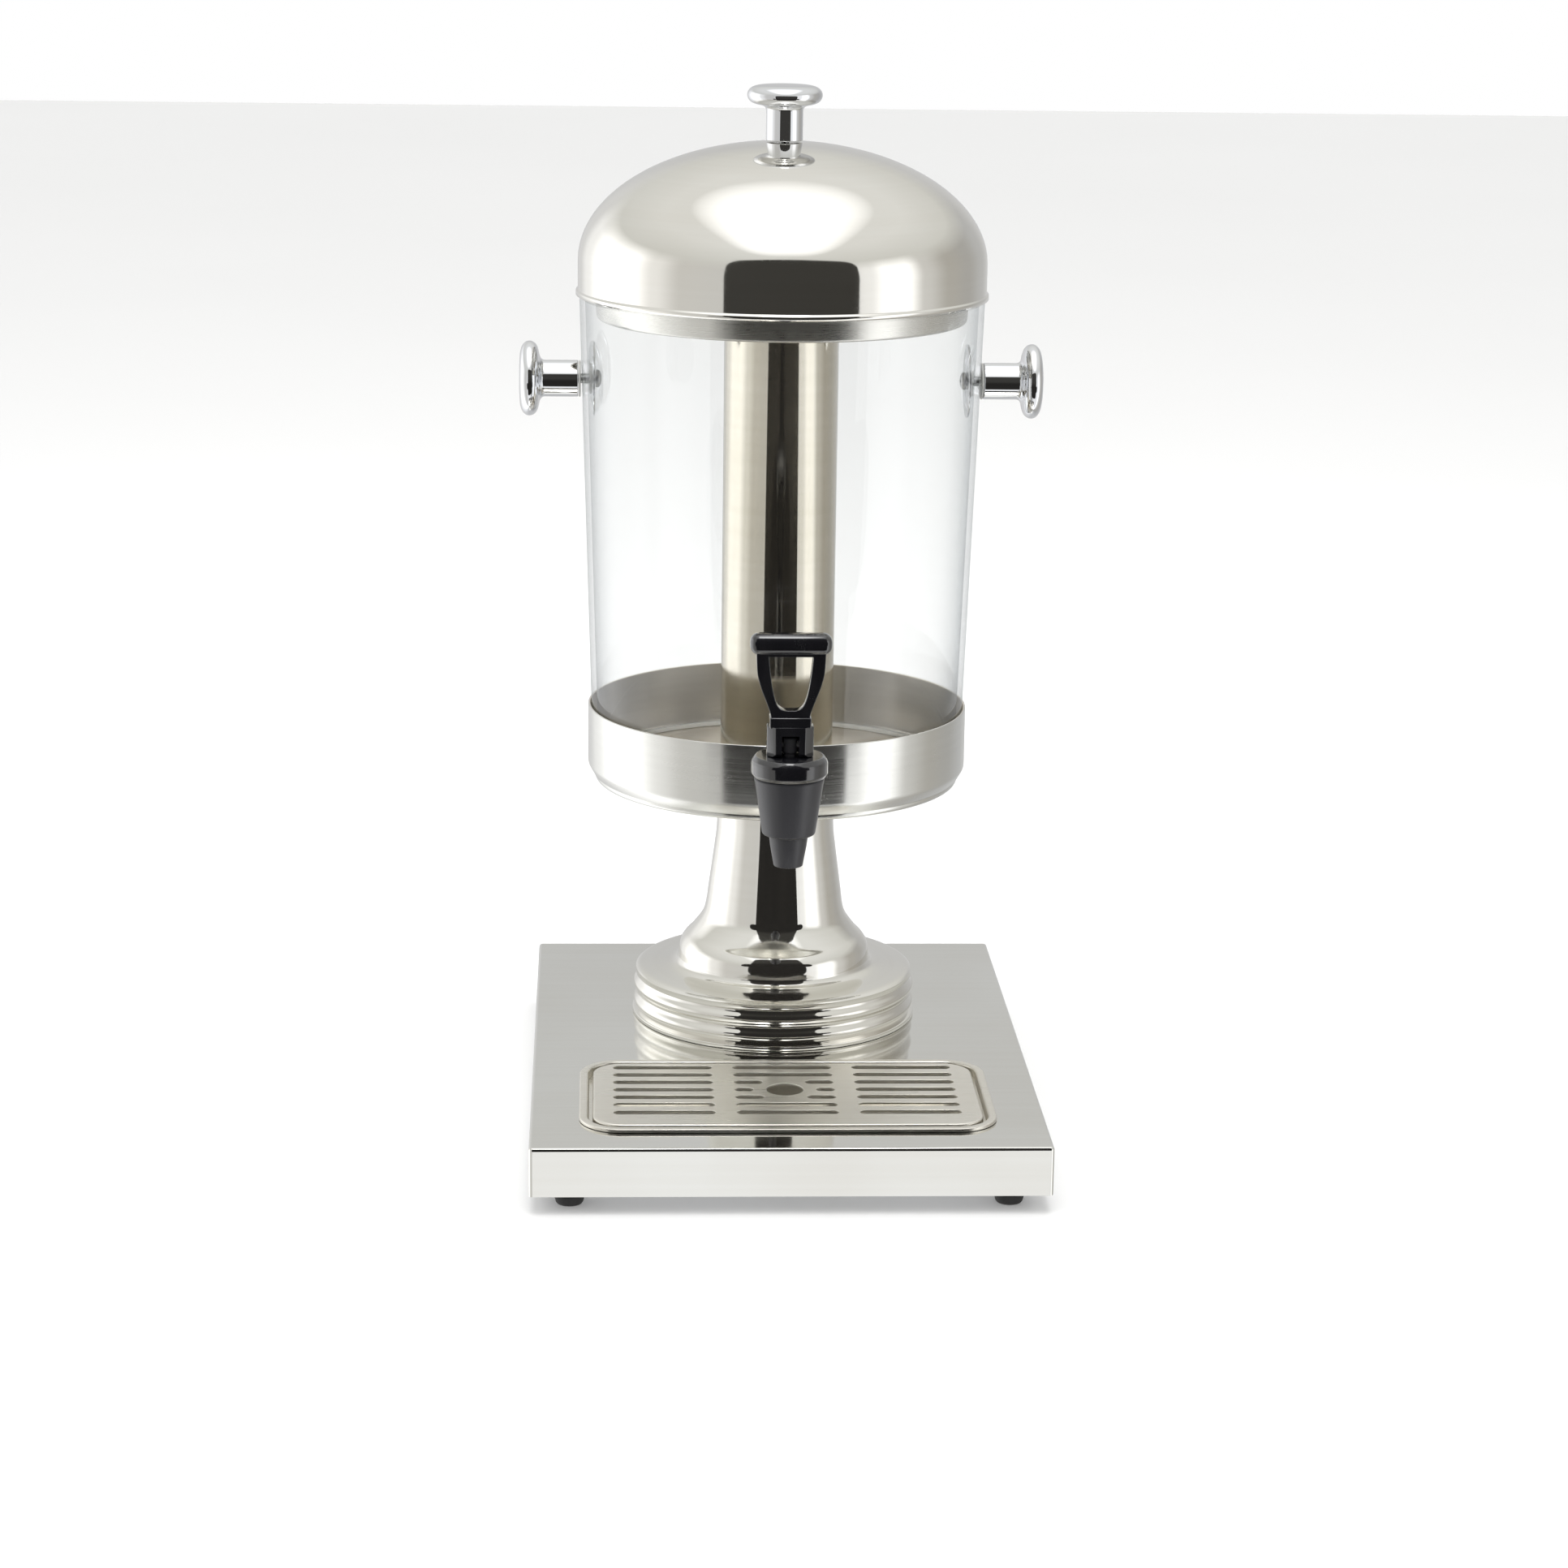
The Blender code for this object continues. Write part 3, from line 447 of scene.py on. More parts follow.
class Recipe:
    """Node tree of one material under construction."""

    def __init__(self, name: str) -> None:
        """Start a material with an empty node tree."""
        self.material = bpy.data.materials.new(name)
        self.material.use_nodes = True
        self.tree = self.material.node_tree
        self.tree.nodes.clear()

    @classmethod
    def on(cls, tree: bpy.types.NodeTree) -> "Recipe":
        """Return a recipe that writes into another node tree, such as the world's."""
        recipe = cls.__new__(cls)
        recipe.tree = tree
        tree.nodes.clear()
        return recipe

    def add(self, kind: str, inputs: dict | None = None, **settings: object) -> bpy.types.Node:
        """Add a node.

        Args:
            kind: The node's type, without its ShaderNode prefix.
            inputs: Value or source socket for each input, by name or index.
            settings: The node's own properties.

        Returns:
            The new node.
        """
        node = self.tree.nodes.new("ShaderNode" + kind)
        for key, value in settings.items():
            setattr(node, key, value)
        for key, value in (inputs or {}).items():
            if isinstance(value, bpy.types.NodeSocket):
                self.tree.links.new(value, node.inputs[key])
            else:
                node.inputs[key].default_value = value
        return node

    def sum(self, operation: str, first: object, second: object = 0.0) -> bpy.types.NodeSocket:
        """Return the result of a sum on two numbers or sockets."""
        return self.add("Math", {0: first, 1: second}, operation=operation).outputs[0]

    def noise(self, vector: bpy.types.NodeSocket, size: float, detail: float = 2.0) -> bpy.types.NodeSocket:
        """Return cloudy noise whose lumps are about a size across, in millimetres."""
        inputs = {"Vector": vector, "Scale": 1 / (size * MM), "Detail": detail}
        return self.add("TexNoise", inputs).outputs["Fac"]

    def spread(self, value: bpy.types.NodeSocket, source: Point, target: Point) -> bpy.types.NodeSocket:
        """Map a span of values onto another span, without passing its ends."""
        inputs = {"Value": value, "From Min": source[0], "From Max": source[1], "To Min": target[0],
                  "To Max": target[1]}
        return self.add("MapRange", inputs).outputs[0]

    def blend(self, factor: bpy.types.NodeSocket, first: Colour, second: Colour) -> bpy.types.NodeSocket:
        """Return a mix of two colours."""
        inputs = {0: factor, 6: (*first, 1), 7: (*second, 1)}
        return self.add("Mix", inputs, data_type="RGBA").outputs[2]

    def place(self, centre: Point = (0, 0, 0)) -> bpy.types.NodeSocket:
        """Return the point on the piece in metres, counted from a centre in millimetres."""
        source = self.add("TexCoord").outputs["Object"]
        shift = tuple(-value * MM for value in centre)
        return self.add("Mapping", {"Vector": source, "Location": shift}).outputs[0]

    def stretched(self, vector: bpy.types.NodeSocket, scale: Point,
                  turn: float = 0.0) -> bpy.types.NodeSocket:
        """Return a vector turned about Z by some degrees and then scaled along each axis."""
        turned = self.add("Mapping", {"Vector": vector, "Rotation": (0, 0, math.radians(turn))}).outputs[0]
        return self.add("Mapping", {"Vector": turned, "Scale": scale}).outputs[0]

    def rings(self, vector: bpy.types.NodeSocket) -> bpy.types.NodeSocket:
        """Return (distance from the upright axis, height, 0), which makes noise run in rings."""
        flat = self.add("VectorMath", {0: vector, 1: (1, 1, 0)}, operation="MULTIPLY").outputs[0]
        radius = self.add("VectorMath", {0: flat}, operation="LENGTH").outputs["Value"]
        height = self.add("SeparateXYZ", {0: vector}).outputs["Z"]
        return self.add("CombineXYZ", {"X": radius, "Y": height}).outputs[0]

    def across(self, vector: bpy.types.NodeSocket, grain: Grain) -> bpy.types.NodeSocket:
        """Return the direction on the surface that lies across the marks of a grain."""
        if grain is Grain.ALONG_X:
            marks = self.add("CombineXYZ", {"X": 1.0, "Y": SKEW}).outputs[0]
        else:
            parts = self.add("SeparateXYZ", {0: vector})
            flipped = self.sum("MULTIPLY", parts.outputs["Y"], -1.0)
            marks = self.add("CombineXYZ", {"X": flipped, "Y": parts.outputs["X"]}).outputs[0]
        normal = self.add("NewGeometry").outputs["Normal"]
        return self.add("VectorMath", {0: normal, 1: marks}, operation="CROSS_PRODUCT").outputs[0]

    def hairlines(self, vector: bpy.types.NodeSocket, turn: float, rarity: float) -> bpy.types.NodeSocket:
        """Return sparse thin lines at an angle, as 0 for none and 1 for a line."""
        lines = self.noise(self.stretched(vector, (1.0, 0.025, 0.4), turn), 0.35, 1.0)
        patches = self.noise(vector, 14.0)
        sparse = self.sum("MULTIPLY", lines, self.spread(patches, (0.45, 0.65), (0.75, 1.12)))
        return self.spread(sparse, (rarity, rarity + 0.05), (0.0, 1.0))

    def bump(self, height: bpy.types.NodeSocket, depth: float, strength: float = 1.0) -> bpy.types.NodeSocket:
        """Return a normal raised by a height map of a depth in millimetres."""
        inputs = {"Height": height, "Distance": depth * MM, "Strength": strength}
        return self.add("Bump", inputs).outputs[0]

    def shader(self, constants: dict, linked: dict) -> bpy.types.Node:
        """Add the Principled shader and connect it to the output."""
        node = self.add("BsdfPrincipled", {**constants, **linked})
        self.add("OutputMaterial", {"Surface": node.outputs[0]})
        return node


@dataclass(frozen=True)
class Metal:
    """Bare or plated metal with fine marks, smears and hairline scratches."""

    name: str
    colour: Colour
    shade: Colour
    gloss: tuple[float, float]      # roughness where it is cleanest and where it is dullest
    grain: Grain
    grain_size: float               # width of one mark in millimetres
    grain_depth: float              # depth of the marks in millimetres
    scratches: float = 0.06         # roughness that a scratch adds
    centre: tuple[float, float] = (0.0, 0.0)
    spread: float = 0.0             # how much further a reflection smears across the marks than along them

    def material(self) -> bpy.types.Material:
        """Build the node tree."""
        recipe = Recipe(self.name)
        place = recipe.place((*self.centre, 0.0))
        smears = recipe.noise(place, 38.0, 3.0)
        clouds = recipe.noise(place, 90.0, 2.0)
        if self.grain is Grain.TURNED:
            run = recipe.rings(place)
        elif self.grain is Grain.ALONG_X:
            run = recipe.stretched(place, (0.012, 1.0, 1.0))
        else:
            run = place
        marks = recipe.noise(run, self.grain_size, 3.0)
        broad = recipe.noise(run, self.grain_size * 7, 1.0)
        lines = recipe.sum("MAXIMUM", recipe.hairlines(place, 31.0, 0.72),
                           recipe.hairlines(place, -52.0, 0.74))
        height = recipe.sum("ADD", marks, recipe.sum("MULTIPLY", broad, 0.8))
        height = recipe.sum("SUBTRACT", height, recipe.sum("MULTIPLY", lines, 0.5))
        dull = recipe.spread(smears, (0.32, 0.68), self.gloss)
        fine = recipe.spread(marks, (0.3, 0.7), (-0.15 * self.gloss[1], 0.15 * self.gloss[1]))
        rough = recipe.sum("ADD", dull, fine)
        rough = recipe.sum("ADD", rough, recipe.sum("MULTIPLY", lines, self.scratches))
        tint = recipe.sum("ADD", recipe.spread(clouds, (0.35, 0.65), (0.0, 0.7)),
                          recipe.spread(broad, (0.3, 0.7), (0.0, 0.3)))
        linked = {"Base Color": recipe.blend(tint, self.colour, self.shade), "Roughness": rough,
                  "Normal": recipe.bump(height, self.grain_depth)}
        if self.spread:
            linked["Tangent"] = recipe.across(place, self.grain)
        recipe.shader({"Metallic": 1.0, "Anisotropic": self.spread}, linked)
        return recipe.material


@dataclass(frozen=True)
class Moulding:
    """Moulded plastic or rubber with an eroded-mould texture, scuffs and dust."""

    name: str
    colour: Colour
    scuffed: Colour
    gloss: tuple[float, float]
    texture: float                  # size of the texture's lumps in millimetres
    depth: float                    # their depth in millimetres
    specular: float = 0.5
    coat: float = 0.0

    def material(self) -> bpy.types.Material:
        """Build the node tree."""
        recipe = Recipe(self.name)
        place = recipe.place()
        grains = recipe.noise(place, self.texture, 4.0)
        flow = recipe.noise(recipe.stretched(place, (1.0, 1.0, 0.3)), 9.0, 2.0)
        scuffs = recipe.sum("MAXIMUM", recipe.hairlines(place, 18.0, 0.70),
                            recipe.hairlines(place, -67.0, 0.72))
        worn = recipe.sum("ADD", recipe.spread(flow, (0.5, 0.75), (0.0, 0.35)),
                          recipe.sum("MULTIPLY", scuffs, 0.3))
        rough = recipe.sum("ADD", recipe.spread(flow, (0.35, 0.65), self.gloss),
                           recipe.sum("MULTIPLY", scuffs, 0.12))
        height = recipe.sum("SUBTRACT", grains, recipe.sum("MULTIPLY", scuffs, 0.4))
        recipe.shader({"Specular IOR Level": self.specular, "Coat Weight": self.coat, "Coat Roughness": 0.04},
                      {"Base Color": recipe.blend(worn, self.colour, self.scuffed), "Roughness": rough,
                       "Normal": recipe.bump(height, self.depth)})
        return recipe.material


@dataclass(frozen=True)
class Clear:
    """Thin clear plastic: what is behind it shows through, with a sheen over it that grows at its edges."""

    name: str
    colour: Colour                  # tint where the wall is seen square on
    edge: Colour                    # tint where it is seen on edge
    gloss: tuple[float, float]
    mirror: float                   # share of the light that it mirrors where it is seen square on

    def material(self) -> bpy.types.Material:
        """Build the node tree."""
        recipe = Recipe(self.name)
        place = recipe.place((AXIS.x, AXIS.y, 0.0))
        haze = recipe.noise(place, 45.0, 3.0)
        lines = recipe.sum("MAXIMUM", recipe.hairlines(place, 12.0, 0.73),
                           recipe.hairlines(place, 71.0, 0.75))
        rough = recipe.sum("ADD", recipe.spread(haze, (0.35, 0.65), self.gloss),
                           recipe.sum("MULTIPLY", lines, 0.05))
        ripple = recipe.noise(recipe.stretched(place, (1.0, 1.0, 0.15)), 22.0, 1.0)
        grazing = recipe.add("LayerWeight", {"Blend": 0.5}).outputs["Facing"]
        steep = recipe.sum("POWER", grazing, 4.0)
        through = recipe.add("BsdfTransparent", {"Color": recipe.blend(steep, self.colour, self.edge)})
        sheen = recipe.add("BsdfGlossy", {"Color": (1, 1, 1, 1), "Roughness": rough,
                                          "Normal": recipe.bump(ripple, 0.01)})
        share = recipe.spread(steep, (0.0, 1.0), (self.mirror, 0.6))
        mix = recipe.add("MixShader", {0: share, 1: through.outputs[0], 2: sheen.outputs[0]})
        recipe.add("OutputMaterial", {"Surface": mix.outputs[0]})
        return recipe.material


@dataclass(frozen=True)
class Silicone:
    """Milky soft silicone that lets some light through."""

    name: str
    colour: Colour
    gloss: tuple[float, float]
    clarity: float                  # share of the light that passes

    def material(self) -> bpy.types.Material:
        """Build the node tree."""
        recipe = Recipe(self.name)
        place = recipe.place()
        dust = recipe.noise(place, 3.0, 4.0)
        tone = recipe.blend(recipe.spread(dust, (0.45, 0.7), (0.0, 0.5)), self.colour,
                            tuple(value * 0.86 for value in self.colour))
        recipe.shader({"IOR": 1.41, "Transmission Weight": self.clarity},
                      {"Base Color": tone, "Roughness": recipe.spread(dust, (0.35, 0.65), self.gloss),
                       "Normal": recipe.bump(dust, 0.02)})
        return recipe.material


ROUND_TANK = (AXIS.x, AXIS.y)

FINISHES = {
    "sheet": Metal("polished_sheet", (0.80, 0.80, 0.77), (0.75, 0.74, 0.70), (0.05, 0.10), Grain.ALONG_X,
                   0.5, 0.0005, spread=0.4),
    "spun": Metal("spun_polished_steel", (0.83, 0.82, 0.78), (0.78, 0.76, 0.71), (0.035, 0.075), Grain.TURNED,
                  0.6, 0.0006, centre=ROUND_TANK, spread=0.5),
    "pan": Metal("satin_pan_steel", (0.80, 0.80, 0.77), (0.74, 0.74, 0.71), (0.20, 0.26), Grain.TURNED,
                 0.6, 0.0010, centre=ROUND_TANK, spread=0.9),
    "brushed_ring": Metal("ring_brushed_steel", (0.93, 0.88, 0.80), (0.82, 0.76, 0.67), (0.32, 0.42),
                          Grain.TURNED, 0.7, 0.004, centre=ROUND_TANK, spread=0.7),
    "locating": Metal("brushed_ring_steel", (0.82, 0.81, 0.77), (0.76, 0.74, 0.70), (0.24, 0.32),
                      Grain.TURNED, 0.6, 0.002, centre=ROUND_TANK, spread=0.8),
    "tube": Metal("brushed_tube_steel", (0.80, 0.76, 0.67), (0.72, 0.68, 0.58), (0.06, 0.10), Grain.TURNED,
                  0.6, 0.0008, centre=ROUND_TANK, spread=0.7),
    "satin": Metal("satin_pressed_steel", (0.84, 0.82, 0.76), (0.78, 0.75, 0.68), (0.28, 0.36), Grain.ALONG_X,
                   0.5, 0.0005, spread=0.5),
    "chrome": Metal("chrome_plate", (0.80, 0.81, 0.83), (0.76, 0.77, 0.79), (0.02, 0.05), Grain.CAST,
                    9.0, 0.002, 0.04),
    "zinc": Metal("zinc_plate", (0.62, 0.63, 0.64), (0.52, 0.53, 0.53), (0.28, 0.42), Grain.CAST, 0.6, 0.01),
    "satin_black": Moulding("satin_black_plastic", (0.030, 0.030, 0.034), (0.055, 0.055, 0.058), (0.30, 0.38),
                            0.25, 0.005),
    "gloss_black": Moulding("gloss_black_plastic", (0.006, 0.006, 0.008), (0.014, 0.014, 0.016), (0.10, 0.18),
                            1.6, 0.001, specular=0.6, coat=1.0),
    "rubber": Moulding("black_rubber", (0.016, 0.016, 0.016), (0.045, 0.043, 0.040), (0.62, 0.78), 0.3, 0.02,
                       specular=0.3),
    "clear": Clear("clear_polycarbonate", (0.985, 0.988, 0.988), (0.80, 0.82, 0.83), (0.0, 0.02), 0.03),
    "silicone": Silicone("clear_silicone", (0.90, 0.90, 0.87), (0.32, 0.45), 0.55),
}


class Stock:
    """Materials made so far, one for each finish."""

    made: dict[str, bpy.types.Material] = {}

    @classmethod
    def take(cls, finish: str) -> bpy.types.Material:
        """Return the material of a finish, making it once."""
        if finish not in cls.made:
            cls.made[finish] = FINISHES[finish].material()
        return cls.made[finish]


def refinish(node: str, finish: str) -> None:
    """Give a CAD node that keeps its own mesh a better material."""
    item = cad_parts[node]
    for slot in item.material_slots:
        slot.material = Stock.take(finish)
    LOG.info("%s: CAD mesh in %s", node, finish)


# ---------------------------------------------------------------- base

@dataclass
class Screw:
    """Pan-head screw with a cross recess, along its own upward axis with the seat under its head."""

    shank: float = 2.5
    head: float = 4.7
    head_height: float = 2.9

    def shape(self, length: float) -> Shape:
        """Return the screw with a shank of a length."""
        outline = rounded([(0, length), (self.shank, length, 0.4), (self.shank, 0), (self.head, 0, 0.3),
                           (self.head, -self.head_height * 0.62, 1.6), (self.head * 0.5, -self.head_height),
                           (0, -self.head_height)], closed=False)
        screw = Shape.turned(outline, 40, ring=False)
        depth = self.head_height * 0.7
        reach = self.head * 1.05
        for size in ((reach, 1.0, depth), (1.0, reach, depth)):
            screw = screw.cut(Shape.block(size, (0, 0, -self.head_height)))
        return screw


@dataclass
class Base:
    """Folded sheet box with a cut-out for the tray, closed below by a plate on four feet."""

    fold: float = 1.6
    corner: float = 2.2
    cutout_inset: float = 2.8
    cutout_corner: float = 14.0
    bolt_hole: float = 4.6
    foot_radius: float = 8.0
    foot_height: float = 9.7
    corners: tuple[str, ...] = ("front_left", "front_right", "back_left", "back_right")

    def housing(self) -> None:
        """Build the folded box."""
        size = high("base_shell") - low("base_shell")
        tray = (high("drip_tray") - low("drip_tray")) / 2
        where = middle("drip_tray")
        arc_steps = 8
        angles = [math.radians(90 * step / arc_steps) for step in range(arc_steps + 1)]
        section = [(self.fold * (1 - math.sin(a)), -self.fold * (1 - math.cos(a))) for a in angles]
        shape = Shape()
        wires = shape.loft((size.x / 2, size.y / 2), self.corner, [*section, (0.0, -size.z)])
        cutout = shape.wire((tray.x - self.cutout_inset, tray.y - self.cutout_inset),
                            self.cutout_corner, 0.0, (where.x, where.y), 48)
        bolt = shape.wire((self.bolt_hole,) * 2, self.bolt_hole, 0.0, (AXIS.x, AXIS.y))
        bmesh.ops.triangle_fill(shape.mesh, use_beauty=True, edges=[*wires[0], *cutout, *bolt])
        shape.tidied()
        shape.upright()
        label = Label("base_housing", "stand", "polished_steel", ("base_shell",))
        hand_over(shape, label, Seat(0, 0, BASE_TOP), [Stock.take("sheet")], Making(SHEET, flats=True))

    def feet(self) -> None:
        """Build the rubber feet and finish the screws, nuts and plate that hold them."""
        radius = self.foot_radius
        outline = rounded([(2.3, self.foot_height), (radius, self.foot_height, 0.6), (radius - 0.35, 6.4),
                           (radius - 0.35, 5.4), (radius, 5.0, 0.3), (radius - 1.1, 0.9, 0.8),
                           (radius - 1.8, 0, 0.5), (4.4, 0, 0.4), (4.4, 5.0), (2.3, 5.0)])
        for corner in self.corners:
            node = "rubber_foot_" + corner
            spot = middle(node)
            label = Label("foot_" + corner, "stand", "black_rubber", (node,))
            hand_over(Shape.turned(outline, 56), label, Seat(spot.x, spot.y, 0), [Stock.take("rubber")])
            refinish("foot_screw_" + corner, "zinc")
            refinish("foot_nut_" + corner, "zinc")
        refinish("base_bottom_plate", "zinc")

    def build(self) -> None:
        """Build every piece of the base."""
        self.housing()
        self.feet()


@dataclass
class DripTray:
    """Pressed tray with a raised rim, and the slotted grille that lies in it."""

    corner: float = 22.0
    rim_top: float = 2.0
    rim_width: float = 4.4
    ledge: float = -3.2
    wall_inset: float = 9.5
    floor: float = -18.8
    grille_thickness: float = 1.2
    grille_inset: float = 6.8
    rows: int = 7
    pitch: float = 11.9
    slot_width: float = 5.6
    slot_length: float = 51.4
    column: float = 62.3
    slots_shift: float = 6.1
    finger_hole: float = 9.5
    finger_ring: float = 16.2

    def tray(self) -> None:
        """Build the tray."""
        half = (high("drip_tray") - low("drip_tray")) / 2
        spot = middle("drip_tray")
        section = rounded([(0.0, GAP), (0.0, self.rim_top, 1.1), (self.rim_width, self.rim_top, 1.1),
                           (self.rim_width, self.ledge, 0.6), (self.wall_inset, self.ledge, 0.8),
                           (self.wall_inset, self.floor, 3.5), (self.wall_inset + 8.0, self.floor)],
                          closed=False)
        shape = Shape()
        wires = shape.loft((half.x, half.y), self.corner, section)
        bmesh.ops.contextual_create(shape.mesh, geom=wires[-1])
        shape.tidied()
        shape.upright()
        label = Label("tray", "tray", "satin_steel", ("drip_tray",))
        hand_over(shape, label, Seat(spot.x, spot.y, BASE_TOP), [Stock.take("satin")],
                  Making(1.0, flats=True))

    def slot_spans(self, y: float) -> list[tuple[float, float]]:
        """Return the start and end of each slot in a row at a distance from the middle row."""
        half = self.slot_length / 2
        spans = [(side * self.column - half, side * self.column + half) for side in (-1, 1)]
        if abs(y) < self.finger_ring:
            ring = math.sqrt(self.finger_ring ** 2 - y ** 2)
            return [*spans, (-half, -ring), (ring, half)]
        return [*spans, (-half, half)]

    def grille(self) -> None:
        """Build the grille."""
        half = (high("drip_grille") - low("drip_grille")) / 2
        spot = middle("drip_grille")
        foot = self.ledge + GAP - (high("drip_grille").z - BASE_TOP)
        shape = Shape()
        section = rounded([(6.0, 0.0), (0.0, 0.0, 1.3), (0.0, foot)], closed=False)
        wires = shape.loft((half.x, half.y), self.corner - self.grille_inset, section[1:])
        hole = shape.wire((self.finger_hole,) * 2, self.finger_hole, 0.0, (0.0, self.slots_shift), 64)
        edges = [*wires[0], *hole]
        for row in range(self.rows):
            y = self.pitch * (row - (self.rows - 1) / 2)
            for start, end in self.slot_spans(y):
                size = ((end - start) / 2, self.slot_width / 2)
                centre = ((start + end) / 2, y + self.slots_shift)
                edges += shape.wire(size, self.slot_width / 2, 0.0, centre, 20)
        bmesh.ops.triangle_fill(shape.mesh, use_beauty=True, edges=edges)
        shape.tidied()
        shape.upright()
        label = Label("grille", "grille", "satin_steel", ("drip_grille",))
        hand_over(shape, label, Seat(spot.x, spot.y, high("drip_grille").z), [Stock.take("satin")],
                  Making(self.grille_thickness, ease=0.3, flats=True))

    def build(self) -> None:
        """Build the tray and its grille."""
        self.tray()
        self.grille()


# ---------------------------------------------------------------- pedestal

@dataclass
class Pedestal:
    """Spun neck on a ribbed drum, and the bolt that clamps the stack together."""

    top: float = NECK_TOP
    bore: float = 4.6
    rib_radius: float = 75.5
    rib_height: float = 1.0
    rib_pitch: float = 9.5
    rib_crest: float = 17.0
    rib_top: float = 23.4
    rib_bottom: float = 3.0
    foot: float = 77.0

    def ribs(self) -> Outline:
        """Return the drum's wavy side."""
        count = 48
        side = []
        for step in range(count + 1):
            height = self.rib_top + (self.rib_bottom - self.rib_top) * step / count
            wave = math.cos(math.tau * (height - self.rib_crest) / self.rib_pitch)
            side.append((self.rib_radius + self.rib_height * wave, height))
        return side

    def outline(self) -> Outline:
        """Return the outer side, from the top of the neck to the foot."""
        crown = rounded([(self.bore, self.top), (31.0, self.top, 1.4), (31.4, self.top - 6)], closed=False)
        flare = flowing([(31.4, self.top - 6), (31.6, 106), (32.8, 94), (34.4, 82), (36.0, 70), (37.2, 61),
                         (38.7, 55.7), (41.2, 51.6), (45.4, 46.2), (48.7, 42.8), (50.8, 39.4), (51.6, 36.0),
                         (51.9, 31.2)])
        shoulder = flowing([(51.9, 31.2), (53.6, 28.8), (57.6, 27.5), (66.0, 26.8), (73.0, 26.2),
                            (75.2, 25.0)])
        foot = rounded([(76.2, 2.6), (self.foot, 2.2, 0.3), (self.foot, GAP)], closed=False)
        return [*crown[:-1], *flare[:-1], *shoulder, *self.ribs(), *foot]

    def build(self) -> None:
        """Build the pedestal and finish the bolt with its washers and nut."""
        shape = Shape.turned(self.outline(), 192, ring=False)
        shape.upright()
        label = Label("spun_pedestal", "stand", "polished_steel", ("pedestal",))
        hand_over(shape, label, on_axis(), [Stock.take("spun")], Making(SHEET, smooth=50))
        for node in ("centre_bolt", "base_washer", "base_nut"):
            refinish(node, "zinc")
        refinish("bolt_seal_washer", "silicone")


# ---------------------------------------------------------------- pan, tank and ice tube

